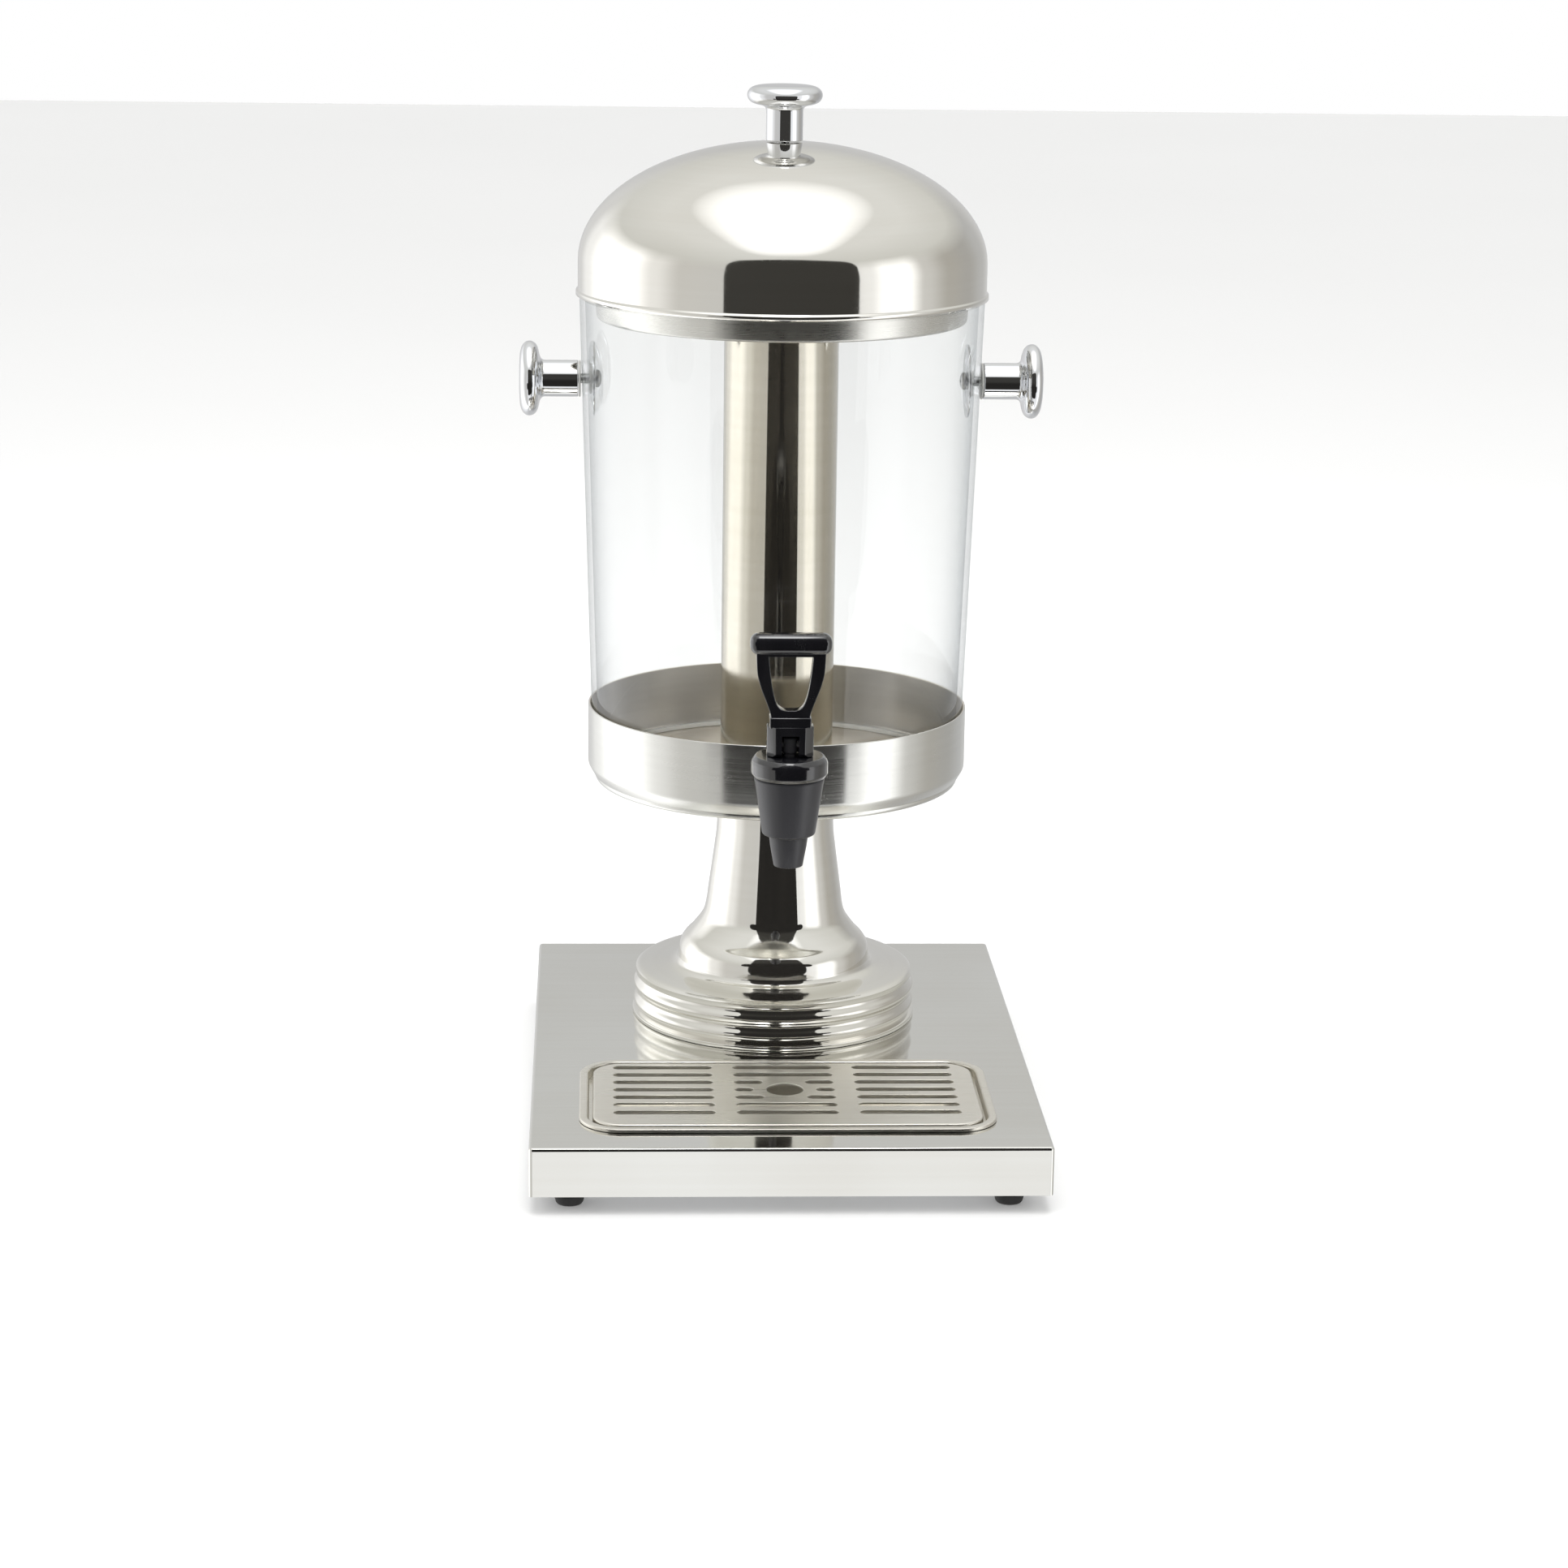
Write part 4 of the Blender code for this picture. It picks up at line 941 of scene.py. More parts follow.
@dataclass
class Tank:
    """Steel pan, clear tapered wall and the ice tube that stands in the middle."""

    pan_radius: float = 101.5
    pan_top: float = 172.9
    pan_floor: float = 138.0
    pan_underside: float = 136.8
    foot: float = 140.9
    top: float = 391.5
    radius_foot: float = 98.8
    radius_top: float = 106.5
    wall: float = 3.0
    tube: float = 30.2
    tube_sheet: float = 1.0
    tube_top: float = 378.2
    tube_floor: float = 141.4
    tube_flange: float = 33.3
    bore: float = 4.6
    shank_z: float = 153.0
    shank_hole: float = 8.4
    handle_z: float = 347.5
    handle_hole: float = 2.9
    steps: int = 192

    def radius_at(self, height: float) -> float:
        """Return the tank's outer radius at a height above the base."""
        share = (height - self.foot) / (self.top - self.foot)
        return self.radius_foot + share * (self.radius_top - self.radius_foot)

    def shank_cutter(self) -> Shape:
        """Return a bar that opens the front wall for the tap."""
        bar = Shape.rod(self.shank_hole, 0, 30, 64).turned_to(Facing.BACK)
        return bar.moved((0, -self.pan_radius - 8, self.shank_z))

    def pan(self) -> None:
        """Build the pan, polished outside and brushed inside."""
        inner = self.pan_radius - SHEET
        bead_radius = 2.2
        bead = [(95.6 + bead_radius * math.cos(turn), 134.0 + bead_radius * math.sin(turn))
                for turn in map(math.radians, range(20, -201, -20))]
        rim = rounded([(inner, self.pan_floor + 9), (inner, self.pan_top, 0.5),
                       (self.pan_radius, self.pan_top, 0.5), (self.pan_radius, 140.5, 4.5),
                       (98.6, 135.6, 1.0)], closed=False)
        floor = [(91.4, self.pan_underside), (self.bore, self.pan_underside), (self.bore, self.pan_floor)]
        dish = rounded([(self.bore, self.pan_floor), (inner, self.pan_floor, 3.3),
                        (inner, self.pan_floor + 9)], closed=False)
        shape = Shape.turned([*rim, *bead, *floor, *dish[1:-1]], self.steps)
        shape = shape.cut(self.shank_cutter())
        edge = self.pan_radius - SHEET / 2
        shape.marked(1, lambda spot: math.hypot(spot.x, spot.y) < edge and spot.z > self.pan_floor - 0.2)
        label = Label("pan", "stand", "satin_steel", ("bottom_pan",))
        looks = [Stock.take("pan"), Stock.take("brushed_ring")]
        hand_over(shape, label, on_axis(), looks, Making(smooth=40))

    def clear_wall(self) -> None:
        """Build the clear wall, with holes for the tap and the handles."""
        outline = rounded([(self.radius_top, self.top, 1.2), (self.radius_foot, self.foot, 0.4),
                           (self.radius_foot - self.wall, self.foot, 0.4),
                           (self.radius_top - self.wall, self.top, 1.2)], step=20)
        shape = Shape.turned(outline, self.steps).cut(self.shank_cutter())
        start = self.radius_at(self.handle_z) - 10
        for side, facing in ((-1, Facing.LEFT), (1, Facing.RIGHT)):
            hole = Shape.rod(self.handle_hole, 0, 20, 32).turned_to(facing)
            shape = shape.cut(hole.moved((side * start, 0, self.handle_z)))
        label = Label("clear_tank", "stand", "clear_polycarbonate", ("tank",))
        hand_over(shape, label, on_axis(), [Stock.take("clear")], Making(smooth=40))
        ring = rounded([(94.6, self.pan_floor + 0.4, 0.4), (97.8, self.pan_floor + 0.4, 0.4),
                        (97.8, self.foot - GAP, 0.4), (94.6, self.foot - GAP, 0.4)])
        label = Label("tank_seal", "stand", "clear_silicone", ("tank_seal_ring",))
        hand_over(Shape.turned(ring, self.steps), label, on_axis(), [Stock.take("silicone")])

    def ice_tube(self) -> None:
        """Build the ice tube and its gasket."""
        inner = self.tube - self.tube_sheet
        rolled = self.tube + 0.5
        lip = rounded([(inner, self.tube_floor + 30), (inner, self.tube_top, 0.3),
                       (rolled, self.tube_top, 0.6), (rolled, self.tube_top - 1.8, 0.4),
                       (self.tube, self.tube_top - 2.6)], closed=False)
        foot = rounded([(self.tube, self.tube_top - 2.6), (self.tube, self.tube_floor + 1.6, 1.4),
                        (self.tube_flange, self.tube_floor + 1.3, 0.5), (self.tube_flange, self.tube_floor),
                        (self.bore, self.tube_floor), (self.bore, self.tube_floor + SHEET),
                        (inner, self.tube_floor + SHEET, 1.5), (inner, self.tube_floor + 30)], closed=False)
        label = Label("ice_tube_shell", "stand", "satin_steel", ("ice_tube",))
        hand_over(Shape.turned([*lip, *foot[1:-1]], 128), label, on_axis(), [Stock.take("tube")])
        outer = self.tube_flange + 0.3
        top = self.tube_floor - GAP
        low_face = self.pan_floor + GAP
        gasket = rounded([(self.bore, low_face), (outer, low_face, 0.8), (outer, top, 0.8), (self.bore, top)])
        label = Label("tube_seal", "stand", "clear_silicone", ("tube_gasket",))
        hand_over(Shape.turned(gasket, 128), label, on_axis(), [Stock.take("silicone")])

    def build(self) -> None:
        """Build the pan, the clear wall and the ice tube."""
        self.pan()
        self.clear_wall()
        self.ice_tube()


# ---------------------------------------------------------------- lid and handles

@dataclass
class Knob:
    """Turned knob: a domed head on a plain stem, bored from below for its screw."""

    head: float = 19.6
    stem: float = 9.6
    bore: float = 2.9
    bore_depth: float = 14.0

    def shape(self, length: float) -> Shape:
        """Return the knob with a length along its own upward axis."""
        head = flowing([(0, length), (5.0, length - 0.02), (10.0, length - 0.1), (14.2, length - 0.5),
                        (17.2, length - 1.5), (19.0, length - 3.2), (self.head, length - 5.2),
                        (19.1, length - 7.3), (17.6, length - 9.0), (15.2, length - 10.0),
                        (12.8, length - 10.5),
                        (10.9, length - 11.2), (9.9, length - 12.2), (self.stem, length - 13.4)], 4)
        stem = rounded([head[-1], (self.stem, 0, 0.5), (self.bore, 0), (self.bore, self.bore_depth),
                        (0, self.bore_depth)], closed=False)
        return Shape.turned([*head[:-1], *stem], 112, ring=False)


@dataclass
class Lid:
    """Domed lid with a beaded edge, an inner locating ring and a screwed knob."""

    radius: float = 107.3
    rise: float = 62.3
    spring: float = 410.0
    bead_radius: float = 108.4
    bead_top: float = 394.5
    bead_bottom: float = 392.4
    sheet: float = 1.0
    screw_hole: float = 3.4
    knob_top: float = 501.4
    ring_outer: float = 105.9
    ring_low: float = 381.6

    def dome(self) -> None:
        """Build the domed cap."""
        count = 40
        start = math.degrees(math.acos(self.screw_hole / self.radius))
        angles = [math.radians(start * (1 - step / count)) for step in range(count + 1)]
        cap = [(self.radius * math.cos(a), self.spring + self.rise * math.sin(a)) for a in angles]
        edge = rounded([(self.radius, self.spring), (self.radius, self.bead_top + 0.9, 0.7),
                        (self.bead_radius, self.bead_top, 0.7), (self.bead_radius, self.bead_bottom)],
                       closed=False)
        shape = Shape.turned([*cap[:-1], *edge], 208, ring=False)
        shape.upright()
        label = Label("dome", "lid", "polished_steel", ("lid_dome",))
        hand_over(shape, label, on_axis(), [Stock.take("spun")], Making(self.sheet, smooth=50))

    def locating_ring(self) -> None:
        """Build the ring that drops into the tank's mouth."""
        shelf = 391.9
        skirt = rounded([(97.4, shelf + 1), (self.ring_outer, shelf + 1, 0.3), (self.ring_outer, shelf, 0.3),
                         (98.2, shelf, 0.6), (97.5, self.ring_low)], closed=False)
        roll = [(96.0 + 1.4 * math.cos(math.radians(a)), 381.4 + 1.4 * math.sin(math.radians(a)))
                for a in range(-10, -241, -23)]
        label = Label("locating_ring", "lid", "polished_steel", ("lid_inner_ring",))
        hand_over(Shape.turned([*skirt, *roll], 208), label, on_axis(), [Stock.take("locating")])

    def knob(self) -> None:
        """Build the knob with its screw and washer."""
        seat = self.spring + self.rise + GAP
        label = Label("knob_top", "lid", "chrome", ("lid_knob",))
        hand_over(Knob().shape(self.knob_top - seat), label, on_axis(seat), [Stock.take("chrome")])
        washer_top = seat - GAP - self.sheet - 0.5
        washer = rounded([(2.8, washer_top - 1.2), (8.0, washer_top - 1.2, 0.3), (8.0, washer_top, 0.3),
                          (2.8, washer_top)])
        label = Label("knob_top_washer", "lid", "zinc_steel", ("lid_knob_washer",))
        hand_over(Shape.turned(washer, 48), label, on_axis(), [Stock.take("zinc")])
        label = Label("knob_top_screw", "lid", "zinc_steel", ("lid_knob_screw",))
        hand_over(Screw().shape(14.0), label, on_axis(washer_top - 1.5), [Stock.take("zinc")])

    def build(self) -> None:
        """Build the lid."""
        self.dome()
        self.locating_ring()
        self.knob()


@dataclass
class SideHandle:
    """Knob outside the tank, pulled onto a gasket by a screw and a disc inside."""

    side: int
    word: str
    facing: Facing
    height: float = 347.5
    tip: float = 138.0
    disc: float = 19.3

    def seat(self, distance: float) -> Seat:
        """Return the seat at a distance from the tank's axis."""
        return Seat(AXIS.x + self.side * distance, AXIS.y, BASE_TOP + self.height, self.facing)

    def ring(self, name: str, node: str, inner: float, outer: float, start: float, thickness: float,
             slot: str, finish: str) -> None:
        """Build one flat ring round the screw."""
        outline = rounded([(inner, 0), (outer, 0, 0.35), (outer, thickness, 0.35), (inner, thickness)])
        label = Label(name + self.word, "stand", slot, (node + self.word,))
        hand_over(Shape.turned(outline, 72), label, self.seat(start), [Stock.take(finish)])

    def build(self, tank: Tank) -> None:
        """Build the handle on a tank."""
        outside = tank.radius_at(self.height)
        inside = outside - tank.wall
        knob_start = outside + 1.9
        knob = Knob()
        label = Label("side_knob_" + self.word, "stand", "chrome", ("handle_knob_" + self.word,))
        hand_over(knob.shape(self.tip - knob_start), label, self.seat(knob_start),
                  [Stock.take("chrome")])
        self.ring("side_gasket_", "handle_gasket_", knob.bore, knob.stem, outside + 0.6, 1.0,
                  "clear_silicone", "silicone")
        self.ring("side_pad_", "handle_pad_", knob.bore, 8.0, inside - 2.5, 1.6, "clear_silicone", "silicone")
        self.ring("side_disc_", "handle_disc_", knob.bore, self.disc, inside - 4.1, 1.2, "polished_steel",
                  "chrome")
        label = Label("side_screw_" + self.word, "stand", "zinc_steel", ("handle_screw_" + self.word,))
        hand_over(Screw().shape(21.0), label, self.seat(inside - 4.1 - GAP), [Stock.take("zinc")])


# ---------------------------------------------------------------- tap

@dataclass
class Tap:
    """Cup and nozzle on a hollow threaded shank, with its washers and nut."""

    cup_top: float = 168.0
    cup_bottom: float = 138.0
    nozzle_bottom: float = 121.6
    seat_z: float = 146.0
    shank_z: float = 153.0
    shank: float = 8.0
    bore: float = 5.5
    neck: float = 9.6
    flange: float = 11.8
    shoulder: float = -52.4
    shank_end: float = -31.0
    thread_pitch: float = 2.0

    def body(self) -> None:
        """Build the cup, the nozzle and the shank as one moulding."""
        cup = rounded([(0, self.cup_top), (17.0, self.cup_top, 0.5), (17.75, self.cup_top - 0.9, 0.5),
                       (17.2, self.cup_top - 3.6), (13.4, self.cup_bottom + 0.4, 1.6),
                       (9.95, self.cup_bottom - 0.4, 0.8),
                       (9.2, self.cup_bottom - 6), (7.35, self.nozzle_bottom, 0.7), (0, self.nozzle_bottom)],
                      closed=False)
        length = self.shank_end - TAP.y
        face = self.shoulder - TAP.y
        thread = self.threads(face, length)
        neck = rounded([(0, 0), (self.neck, 0), (self.neck, face - 3.6, 1.6), (self.flange, face - 2.6, 0.5),
                        (self.flange, face, 0.4), (self.shank, face)], closed=False)
        shank = Shape.turned([*neck, *thread, (0, length)], 72, ring=False)
        shank.turned_to(Facing.BACK).moved((0, 0, self.shank_z))
        body = Shape.turned(cup, 112, ring=False).joined(shank)
        cavity = [(0, self.cup_top + 3), (14.0, self.cup_top + 3), (14.0, self.cup_top - 1),
                  (10.6, self.seat_z),
                  (5.0, self.seat_z), (5.0, self.nozzle_bottom - 3), (0, self.nozzle_bottom - 3)]
        body = body.cut(Shape.turned(cavity, 72, ring=False))
        bore = Shape.rod(self.bore, 0, length + 5, 48).turned_to(Facing.BACK)
        body = body.cut(bore.moved((0, 0, self.shank_z)))
        label = Label("tap_moulding", "stand", "satin_black_plastic", ("tap_body",))
        hand_over(body, label, on_tap(), [Stock.take("satin_black")], Making(smooth=38))

    def threads(self, start: float, end: float) -> Outline:
        """Return the shank's side as a row of thread crests."""
        outline: Outline = [(self.shank, start + 3.0)]
        distance = start + 3.0
        while distance < end - self.thread_pitch:
            outline += [(self.shank - 0.8, distance + self.thread_pitch * 0.4),
                        (self.shank - 0.8, distance + self.thread_pitch * 0.6),
                        (self.shank, distance + self.thread_pitch)]
            distance += self.thread_pitch
        return [*outline, (self.shank - 0.6, end)]

    def fittings(self, tank: Tank) -> None:
        """Build the washers and the nut on the shank."""
        inside = AXIS.y - (tank.radius_at(self.shank_z) - tank.wall) + 1.1
        for word, start in (("outer", self.shoulder + GAP), ("inner", inside)):
            outline = rounded([(8.4, 0), (self.flange, 0, 0.5), (self.flange, 2.0, 0.5), (8.4, 2.0)])
            seat = Seat(TAP.x, start, BASE_TOP + self.shank_z, Facing.BACK)
            label = Label("shank_washer_" + word, "stand", "clear_silicone", ("tap_washer_" + word,))
            hand_over(Shape.turned(outline, 72), label, seat, [Stock.take("silicone")])
        nut = self.hex_nut(22.0, 6.5)
        seat = Seat(TAP.x, inside + 2 + GAP, BASE_TOP + self.shank_z, Facing.BACK)
        label = Label("shank_nut", "stand", "satin_black_plastic", ("tap_nut",))
        hand_over(nut, label, seat, [Stock.take("satin_black")], Making(flats=True))

    @staticmethod
    def hex_nut(across: float, height: float) -> Shape:
        """Return a hexagonal nut with eased edges, standing on its seat."""
        nut = Shape()
        radius = across / math.sqrt(3)
        bmesh.ops.create_cone(nut.mesh, cap_ends=True, segments=6, radius1=radius, radius2=radius,
                              depth=height, matrix=Matrix.Translation((0, 0, height / 2)))
        nut = nut.eased(0.8, 3)
        return nut.cut(Shape.rod(8.4, -1, height + 1))

    def build(self, tank: Tank) -> None:
        """Build the tap's body and what holds it on a tank."""
        self.body()
        self.fittings(tank)


@dataclass
class Valve:
    """Bonnet, stem and silicone cup that close the nozzle."""

    cup_top: float = 168.0
    top: float = 179.0
    radius: float = 19.35
    seat_z: float = 146.0
    pivot: float = 185.0
    pin_hole: float = 2.15

    def bonnet(self) -> None:
        """Build the screwed cap."""
        low_face = self.cup_top + GAP
        outline = rounded([(3.4, self.top), (17.3, self.top, 1.2), (19.0, self.top - 2.2, 0.8),
                           (self.radius, self.top - 3.6, 0.5), (self.radius, self.cup_top + 2.2, 0.9),
                           (18.0, low_face, 0.4), (14.0, low_face), (14.0, 174.5), (3.4, 174.5)])
        label = Label("bonnet", "stand", "gloss_black_plastic", ("tap_bonnet",))
        hand_over(Shape.turned(outline, 112), label, on_tap(), [Stock.take("gloss_black")])

    def stem(self) -> None:
        """Build the stem with its pin hole, and the seat cup."""
        outline = rounded([(0, self.pivot + 3.3), (3.9, self.pivot + 3.3, 1.0), (3.9, self.pivot - 4, 0.6),
                           (3.0, self.pivot - 5), (3.0, self.seat_z + 3.2), (0, self.seat_z + 3.2)],
                          closed=False)
        hole = Shape.rod(self.pin_hole, -6, 6, 32).turned_to(Facing.RIGHT).moved((0, 0, self.pivot))
        label = Label("stem", "valve_stem", "satin_black_plastic", ("tap_stem",))
        stem = Shape.turned(outline, 48, ring=False).cut(hole)
        hand_over(stem, label, on_tap(), [Stock.take("satin_black")])
        z = self.seat_z
        cup = rounded([(0, z + 2.8), (3.3, z + 2.8), (3.3, z + 12), (5.4, z + 12, 0.6), (6.2, z + 6, 1.0),
                       (8.7, z + 1.8, 0.6), (8.7, z + GAP, 0.4), (0, z + GAP)], closed=False)
        label = Label("seat_cup", "valve_stem", "clear_silicone", ("tap_seat_cup",))
        hand_over(Shape.turned(cup, 64, ring=False), label, on_tap(), [Stock.take("silicone")])

    def build(self) -> None:
        """Build the valve."""
        self.bonnet()
        self.stem()


@dataclass
class Lever:
    """Forked hub on the pivot pin, a stirrup loop above it and a cross bar to pull."""

    pivot: float = 185.0
    hub_low: float = 179.3
    hub_top: float = 194.8
    loop_low: float = 198.5
    loop_top: float = 232.0
    bar_low: float = 230.7
    bar_top: float = 241.8
    hub: tuple[float, float] = (23.5, 16.0)
    ledge: tuple[float, float] = (21.0, 12.6)
    plate: float = 7.2
    widths: tuple[tuple[float, float], ...] = (
        (0.0, 9.6), (0.1, 10.4), (0.25, 12.2), (0.38, 13.9), (0.5, 15.3), (0.7, 16.9), (1.0, 17.4))
    opening_low: float = 202.6
    opening_top: float = 230.0
    opening_half: float = 11.1
    opening_power: float = 4.5
    bar: tuple[float, float] = (41.1, 11.4)
    fork: float = 8.6
    pin: float = 1.9

    def hub_shape(self) -> Shape:
        """Return the forked hub with its relieved heels."""
        height = self.hub_top - self.hub_low
        hub = Shape.block((*self.hub, height), (0, 0, (self.hub_top + self.hub_low) / 2))
        hub.eased(4.4, 1, where=lambda edge: abs(edge.verts[0].co.z - edge.verts[1].co.z) > height / 2)
        hub.eased(0.5, 2)
        for side in (-1, 1):
            relief = Shape.block((30, 8, 8))
            bmesh.ops.rotate(relief.mesh, verts=relief.mesh.verts, cent=(0, 0, 0),
                             matrix=Matrix.Rotation(math.radians(45), 3, "X"))
            hub = hub.cut(relief.moved((0, side * 9.2, self.hub_low - 2.6)))
        return hub

    @staticmethod
    def slab(outline: Outline, depth: float) -> Shape:
        """Return a closed slab from an outline of (across, height) points, centred front to back."""
        shape = Shape()
        shape.mesh.faces.new([shape.mesh.verts.new((x, -depth / 2, z)) for x, z in outline])
        made = bmesh.ops.extrude_face_region(shape.mesh, geom=list(shape.mesh.faces))
        far = [item for item in made["geom"] if isinstance(item, bmesh.types.BMVert)]
        bmesh.ops.translate(shape.mesh, verts=far, vec=(0, depth, 0))
        return shape.tidied()

    def stirrup(self) -> Shape:
        """Return the loop: a plate that swells upward like a goblet, with a U-shaped opening."""
        height = self.loop_top - self.loop_low
        right = flowing([(half, self.loop_low + share * height) for share, half in self.widths], 4)
        left = [(-half, z) for half, z in reversed(right)]
        return self.slab([*right, *left], self.plate).cut(self.opening())

    def opening(self) -> Shape:
        """Return the U-shaped opening as a closed shape."""
        count = 36
        rise = self.opening_top - self.opening_low
        shares = [math.sin(math.pi * (step / count - 0.5)) for step in range(count + 1)]
        outline = [(self.opening_half * share, self.opening_low + rise * abs(share) ** self.opening_power)
                   for share in shares]
        return self.slab(outline, 16)

    def build(self) -> None:
        """Build the lever and its pin."""
        height = self.loop_low + 1 - self.hub_top + 1
        ledge = Shape.block((*self.ledge, height), (0, 0, (self.hub_top + self.loop_low) / 2)).eased(0.9, 3)
        bar_height = self.bar_top - self.bar_low
        bar = Shape.block((*self.bar, bar_height), (0, 0, (self.bar_top + self.bar_low) / 2)).eased(4.6, 6)
        lever = self.hub_shape().joined(ledge).joined(self.stirrup().eased(1.6, 4, 40)).joined(bar)
        slot_top = self.pivot + 5.4
        slot_low = self.hub_low - 2
        slot = Shape.block((self.fork, 15.0, slot_top - slot_low), (0, -2.1, (slot_top + slot_low) / 2))
        hole = Shape.rod(self.pin + 0.25, -15, 15, 32).turned_to(Facing.RIGHT).moved((0, 0, self.pivot))
        lever = lever.cut(slot).cut(hole)
        label = Label("lever", "lever", "gloss_black_plastic", ("tap_lever",))
        hand_over(lever, label, on_tap(), [Stock.take("gloss_black")], Making(smooth=40, flats=True))
        pin = rounded([(0, 11.3), (self.pin, 11.3, 0.4), (self.pin, -11.3, 0.4), (0, -11.3)], closed=False)
        seat = Seat(TAP.x, TAP.y, BASE_TOP + self.pivot, Facing.RIGHT)
        label = Label("pivot_pin", "lever", "zinc_steel", ("tap_pivot_pin",))
        hand_over(Shape.turned(pin, 40, ring=False), label, seat, [Stock.take("zinc")])


# ---------------------------------------------------------------- studio

@dataclass(frozen=True)
class Panel:
    """Edge of a light or a wall round the horizon, at an angle in degrees right of the viewer."""

    angle: float
    light: float
    warmth: float = 0.0


@dataclass
class Studio:
    """Pale floor, soft light all round and one dark card in front that gives the steel its contrast."""

    floor_size: float = 14.0
    strongest: float = 4.0                                # brightest value that the ramp can hold
    overhead_glow: float = 1.45                           # brightness of the light overhead
    core_glow: float = 5.0                                # what its middle adds
    core_size: float = 0.30                               # size of the middle against the whole light
    card_place: tuple[float, float] = (20.0, -320.0)      # middle of the card and its depth, in millimetres
    card_parts: tuple[tuple[float, float, float], ...] = (  # half width, bottom and top, in millimetres
        (245.0, 0.0, 630.0), (345.0, 185.0, 332.0))
    card_corner: float = 60.0
    panels: tuple[Panel, ...] = (
        Panel(-180, 0.60), Panel(-160, 0.74), Panel(-144, 1.05), Panel(-122, 1.6), Panel(-98, 1.6),
        Panel(-79, 1.00, 0.02), Panel(-60, 0.69, 0.05), Panel(-38, 0.67, 0.04),
        Panel(-20, 0.93), Panel(0, 1.03), Panel(38, 0.98), Panel(47, 1.06), Panel(58, 1.5), Panel(70, 1.5),
        Panel(84, 0.71, 0.04), Panel(105, 0.49, 0.10), Panel(125, 0.46, 0.05), Panel(145, 0.53),
        Panel(164, 0.62), Panel(180, 0.60))

    def sky(self) -> None:
        """Build the world: a white field for the viewer and the studio's walls and lights for reflections."""
        world = bpy.data.worlds.new("studio")
        bpy.context.scene.world = world
        world.use_nodes = True
        recipe = Recipe.on(world.node_tree)
        direction = recipe.add("TexCoord").outputs["Generated"]
        across, depth, rise = recipe.add("SeparateXYZ", {0: direction}).outputs
        angle = recipe.sum("ARCTAN2", across, recipe.sum("MULTIPLY", depth, -1.0))
        share = recipe.sum("ADD", recipe.sum("DIVIDE", angle, math.tau), 0.5)
        ramp = recipe.add("ValToRGB", {0: share})
        ramp.color_ramp.interpolation = "EASE"
        stops = ramp.color_ramp.elements
        while len(stops) < len(self.panels):
            stops.new(0.5)
        for stop, panel in zip(stops, self.panels):
            stop.position = panel.angle / 360 + 0.5
            value = panel.light / self.strongest
            stop.color = (value, value * (1 - panel.warmth / 3), value * (1 - panel.warmth), 1)
        horizon = recipe.add("VectorMath", {0: ramp.outputs[0], "Scale": self.strongest},
                             operation="SCALE").outputs[0]
        elevation = recipe.sum("ARCSINE", rise)
        to_wall = recipe.spread(elevation, (math.radians(15), math.radians(27)), (0.0, 1.0))
        up_wall = recipe.spread(elevation, (math.radians(25), math.radians(48)), (0.0, 1.0))
        paint = recipe.blend(up_wall, (0.72, 0.72, 0.69), (0.86, 0.86, 0.84))
        wall = recipe.add("Mix", {0: to_wall, 6: horizon, 7: paint}, data_type="RGBA").outputs[2]
        core = self.overhead(recipe, across, depth, rise, self.core_size)
        lit = recipe.sum("ADD", recipe.sum("MULTIPLY", core, self.core_glow), self.overhead_glow)
        lamp = recipe.add("CombineXYZ", {"X": lit, "Y": lit, "Z": lit}).outputs[0]
        over = self.overhead(recipe, across, depth, rise, 1.0)
        light = recipe.add("Mix", {0: over, 6: wall, 7: lamp}, data_type="RGBA").outputs[2]
        white = recipe.add("Mix", {0: self.mirrored(recipe), 6: (1, 1, 1, 1), 7: light},
                           data_type="RGBA").outputs[2]
        field = recipe.add("Background", {"Color": white, "Strength": 1.0})
        recipe.add("OutputWorld", {"Surface": field.outputs[0]})

    @staticmethod
    def overhead(recipe: Recipe, across: bpy.types.NodeSocket, depth: bpy.types.NodeSocket,
                 rise: bpy.types.NodeSocket, size: float) -> bpy.types.NodeSocket:
        """Return 1 in the directions of the soft-edged light overhead, and 0 elsewhere.

        Args:
            recipe: Node tree of the world.
            across: Direction's share to the right.
            depth: Direction's share away from the user.
            rise: Direction's share upwards.
            size: Size of the patch against the whole light.

        Returns:
            The socket with the share of light.
        """
        above = recipe.sum("MAXIMUM", rise, 0.05)
        spans = ((across, 0.0, 0.50), (depth, -0.32, 0.84))
        reach = []
        for part, centre, half in spans:
            offset = recipe.sum("SUBTRACT", recipe.sum("DIVIDE", part, above), centre)
            ratio = recipe.sum("ABSOLUTE", recipe.sum("DIVIDE", offset, half * size))
            reach.append(recipe.sum("POWER", ratio, 3.0))
        inside = recipe.spread(recipe.sum("ADD", *reach), (0.45, 1.7), (1.0, 0.0))
        return recipe.sum("MULTIPLY", inside, recipe.spread(rise, (0.45, 0.55), (0.0, 1.0)))

    @staticmethod
    def mirrored(recipe: Recipe) -> bpy.types.NodeSocket:
        """Return 1 for light that a surface has mirrored or scattered, and 0 for what is seen directly."""
        path = recipe.add("LightPath")
        bounces = recipe.sum("ADD", path.outputs["Glossy Depth"], path.outputs["Diffuse Depth"])
        return recipe.sum("GREATER_THAN", bounces, 0.5)

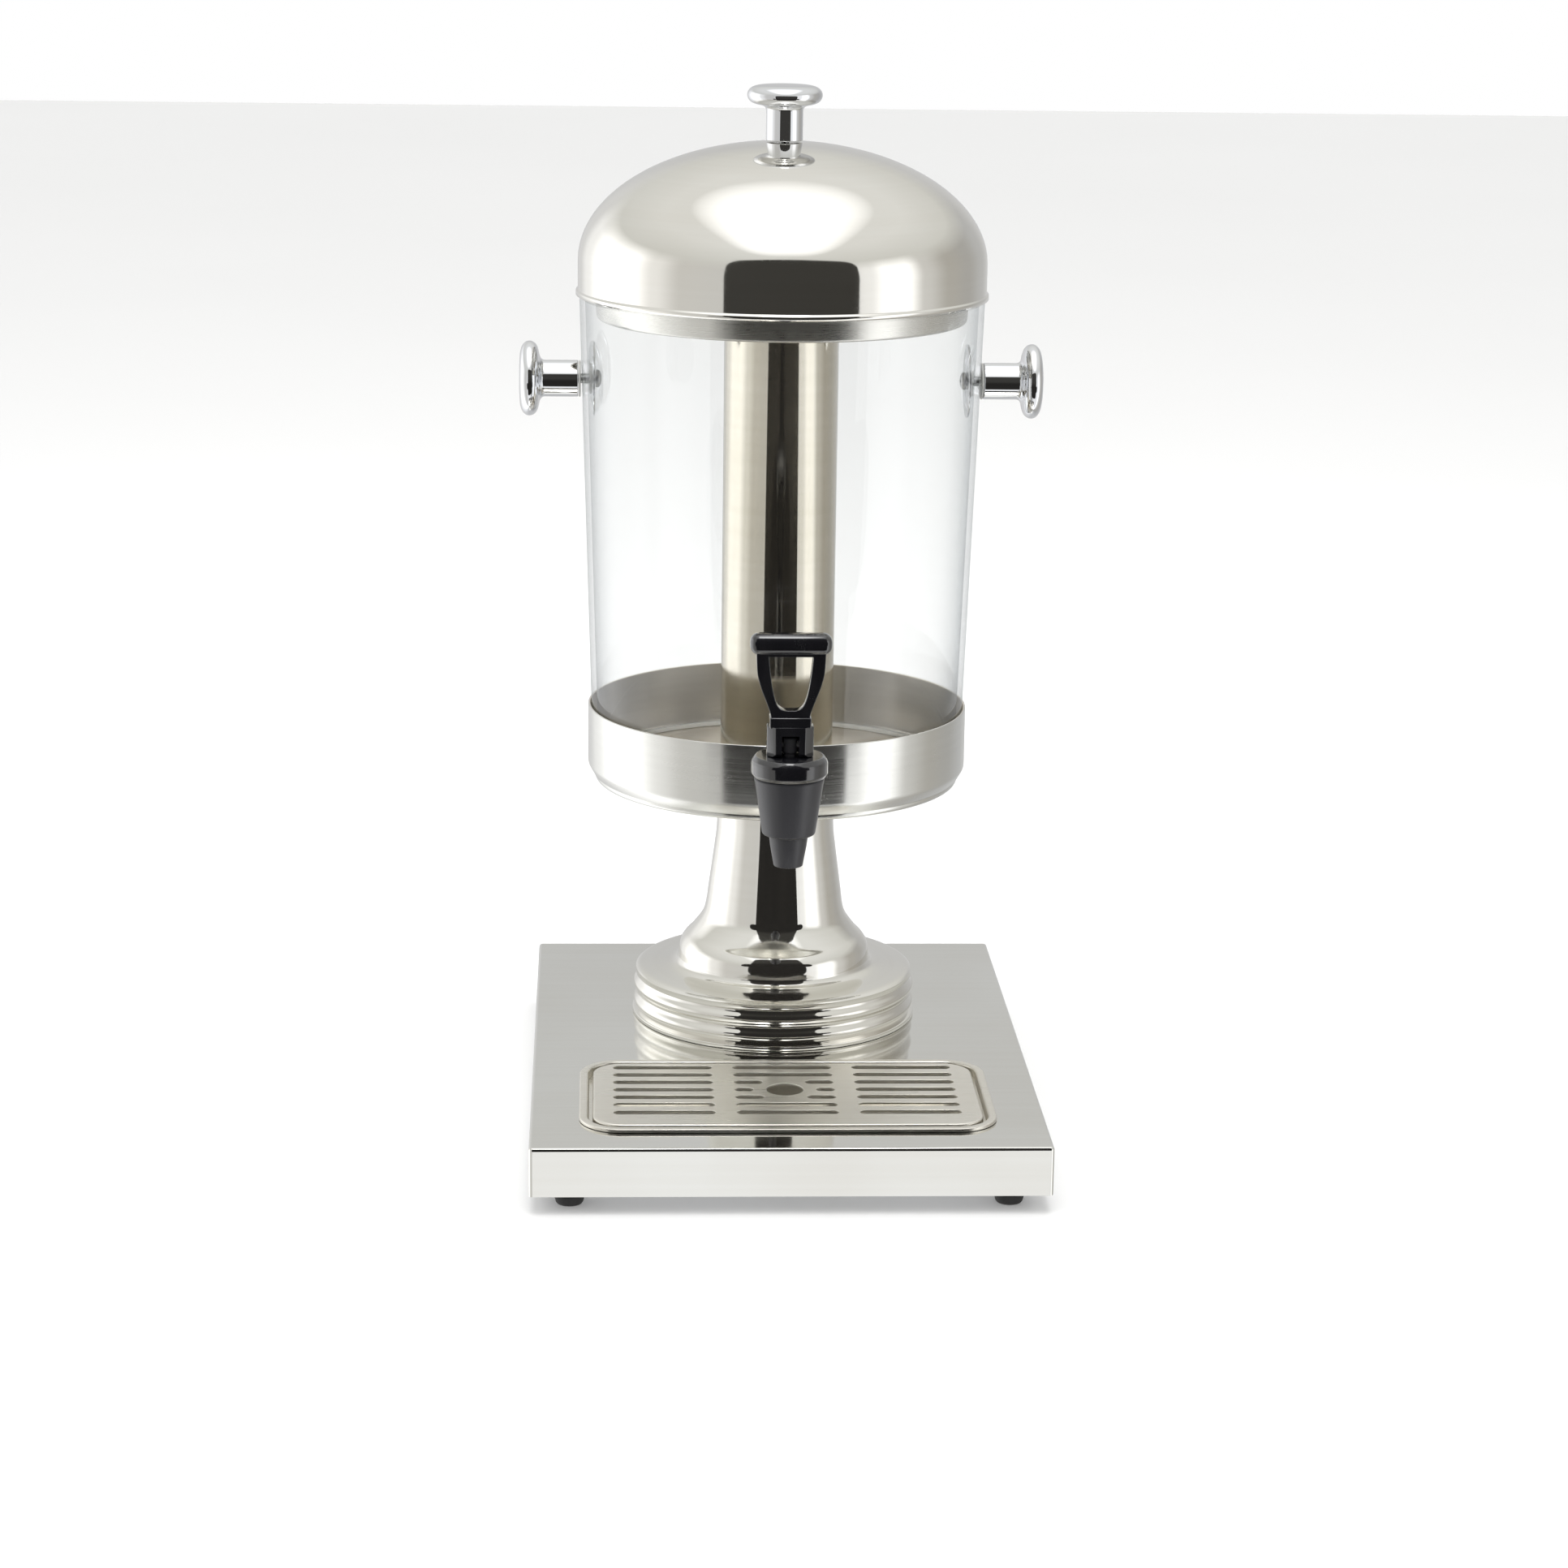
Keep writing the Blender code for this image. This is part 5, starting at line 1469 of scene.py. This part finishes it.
    def floor(self) -> None:
        """Build the pale floor, which the steel doesn't mirror."""
        mesh = bmesh.new()
        bmesh.ops.create_grid(mesh, x_segments=1, y_segments=1, size=self.floor_size / 2)
        data = bpy.data.meshes.new("floor")
        mesh.to_mesh(data)
        mesh.free()
        item = bpy.data.objects.new("floor", data)
        bpy.context.scene.collection.objects.link(item)
        recipe = Recipe("pale_floor")
        place = recipe.place()
        tone = recipe.blend(recipe.noise(place, 900.0), (0.62, 0.62, 0.62), (0.60, 0.60, 0.60))
        matt = recipe.add("BsdfDiffuse", {"Color": tone})
        glow = recipe.add("Emission", {"Color": (1, 1, 1, 1), "Strength": 0.14})
        both = recipe.add("AddShader", {0: matt.outputs[0], 1: glow.outputs[0]})
        gone = recipe.add("BsdfTransparent")
        shown = recipe.add("MixShader", {0: self.mirrored(recipe), 1: both.outputs[0], 2: gone.outputs[0]})
        recipe.add("OutputMaterial", {"Surface": shown.outputs[0]})
        data.materials.append(recipe.material)

    def card(self) -> None:
        """Build the dark card, which only the polished surfaces see."""
        middle_x, depth = self.card_place
        shape = Shape()
        for half, bottom, top in self.card_parts:
            centre = (middle_x, (top + bottom) / 2)
            wire = shape.wire((half, (top - bottom) / 2), self.card_corner, 0.0, centre, 24)
            bmesh.ops.contextual_create(shape.mesh, geom=wire)
        bmesh.ops.rotate(shape.mesh, verts=shape.mesh.verts, cent=(0, 0, 0),
                         matrix=Matrix.Rotation(math.pi / 2, 3, "X"))
        item = shape.moved((0, depth, 0)).put_down("dark_card")
        item.data.transform(Matrix.Scale(MM, 4))
        recipe = Recipe("card_cloth")
        place = recipe.place()
        rise = recipe.add("SeparateXYZ", {0: place}).outputs["Z"]
        dark = recipe.blend(recipe.noise(place, 60.0), (0.020, 0.019, 0.018), (0.028, 0.026, 0.024))
        high_up = recipe.spread(rise, (0.33, 0.42), (0.0, 1.0))
        tone = recipe.add("Mix", {0: high_up, 6: dark, 7: (0.050, 0.048, 0.044, 1)},
                          data_type="RGBA").outputs[2]
        glow = recipe.add("Emission", {"Color": tone, "Strength": 1.0})
        gone = recipe.add("BsdfTransparent")
        shown = recipe.add("MixShader", {0: self.mirrored(recipe), 1: gone.outputs[0], 2: glow.outputs[0]})
        recipe.add("OutputMaterial", {"Surface": shown.outputs[0]})
        item.data.materials.append(recipe.material)
        for ray in ("camera", "diffuse", "shadow"):
            setattr(item, "visible_" + ray, False)

    def lamp(self, name: str, place: Point, target: Point, size: float, power: float) -> None:
        """Hang one soft lamp that the steel doesn't mirror.

        Args:
            name: The lamp's name.
            place: Where it hangs, in metres.
            target: Point that it faces, in metres.
            size: Width of its square face in metres.
            power: Power in watts.
        """
        data = bpy.data.lights.new(name, "AREA")
        data.size = size
        data.energy = power
        item = bpy.data.objects.new(name, data)
        bpy.context.scene.collection.objects.link(item)
        item.location = place
        item.rotation_euler = (Vector(target) - Vector(place)).to_track_quat("-Z", "Y").to_euler()
        item.visible_glossy = False

    def build(self) -> None:
        """Build the studio."""
        self.sky()
        self.floor()
        self.card()
        self.lamp("left_softbox", (-1.6, -0.9, 1.5), (0, 0, 0.25), 1.3, 16)
        self.lamp("right_softbox", (1.7, -1.0, 1.3), (0, 0, 0.25), 1.1, 12)
        self.lamp("top_softbox", (0, 0.2, 2.4), (0, 0, 0.2), 1.8, 26)
        bpy.context.scene.view_settings.view_transform = "Standard"


@dataclass
class Viewpoint:
    """Camera a little left of the middle, looking down at the dispenser."""

    place: tuple[float, float, float] = (-0.0958, -1.9834, 0.6780)
    turn_right: float = 2.822
    look_down: float = 14.200
    roll: float = 0.806
    focal_length: float = 89.0

    def build(self) -> None:
        """Build the camera and make it the scene's own."""
        data = bpy.data.cameras.new("viewpoint")
        data.lens = self.focal_length
        data.sensor_width = 36.0
        item = bpy.data.objects.new("viewpoint", data)
        bpy.context.scene.collection.objects.link(item)
        turn = Matrix.Rotation(math.radians(-self.turn_right), 4, "Z")
        tilt = Matrix.Rotation(math.radians(90 - self.look_down), 4, "X")
        roll = Matrix.Rotation(math.radians(self.roll), 4, "Z")
        item.matrix_world = Matrix.Translation(self.place) @ turn @ tilt @ roll
        bpy.context.scene.camera = item


def main() -> None:
    """Build the viewpoint, the studio and every sub-assembly in order."""
    logging.basicConfig(level=logging.INFO, format="%(name)s %(message)s")
    Viewpoint().build()
    Studio().build()
    tank = Tank()
    Base().build()
    DripTray().build()
    Pedestal().build()
    tank.build()
    Lid().build()
    for side, word, facing in ((-1, "left", Facing.LEFT), (1, "right", Facing.RIGHT)):
        SideHandle(side, word, facing).build(tank)
    Tap().build(tank)
    Valve().build()
    Lever().build()


if __name__ == "__main__":
    main()
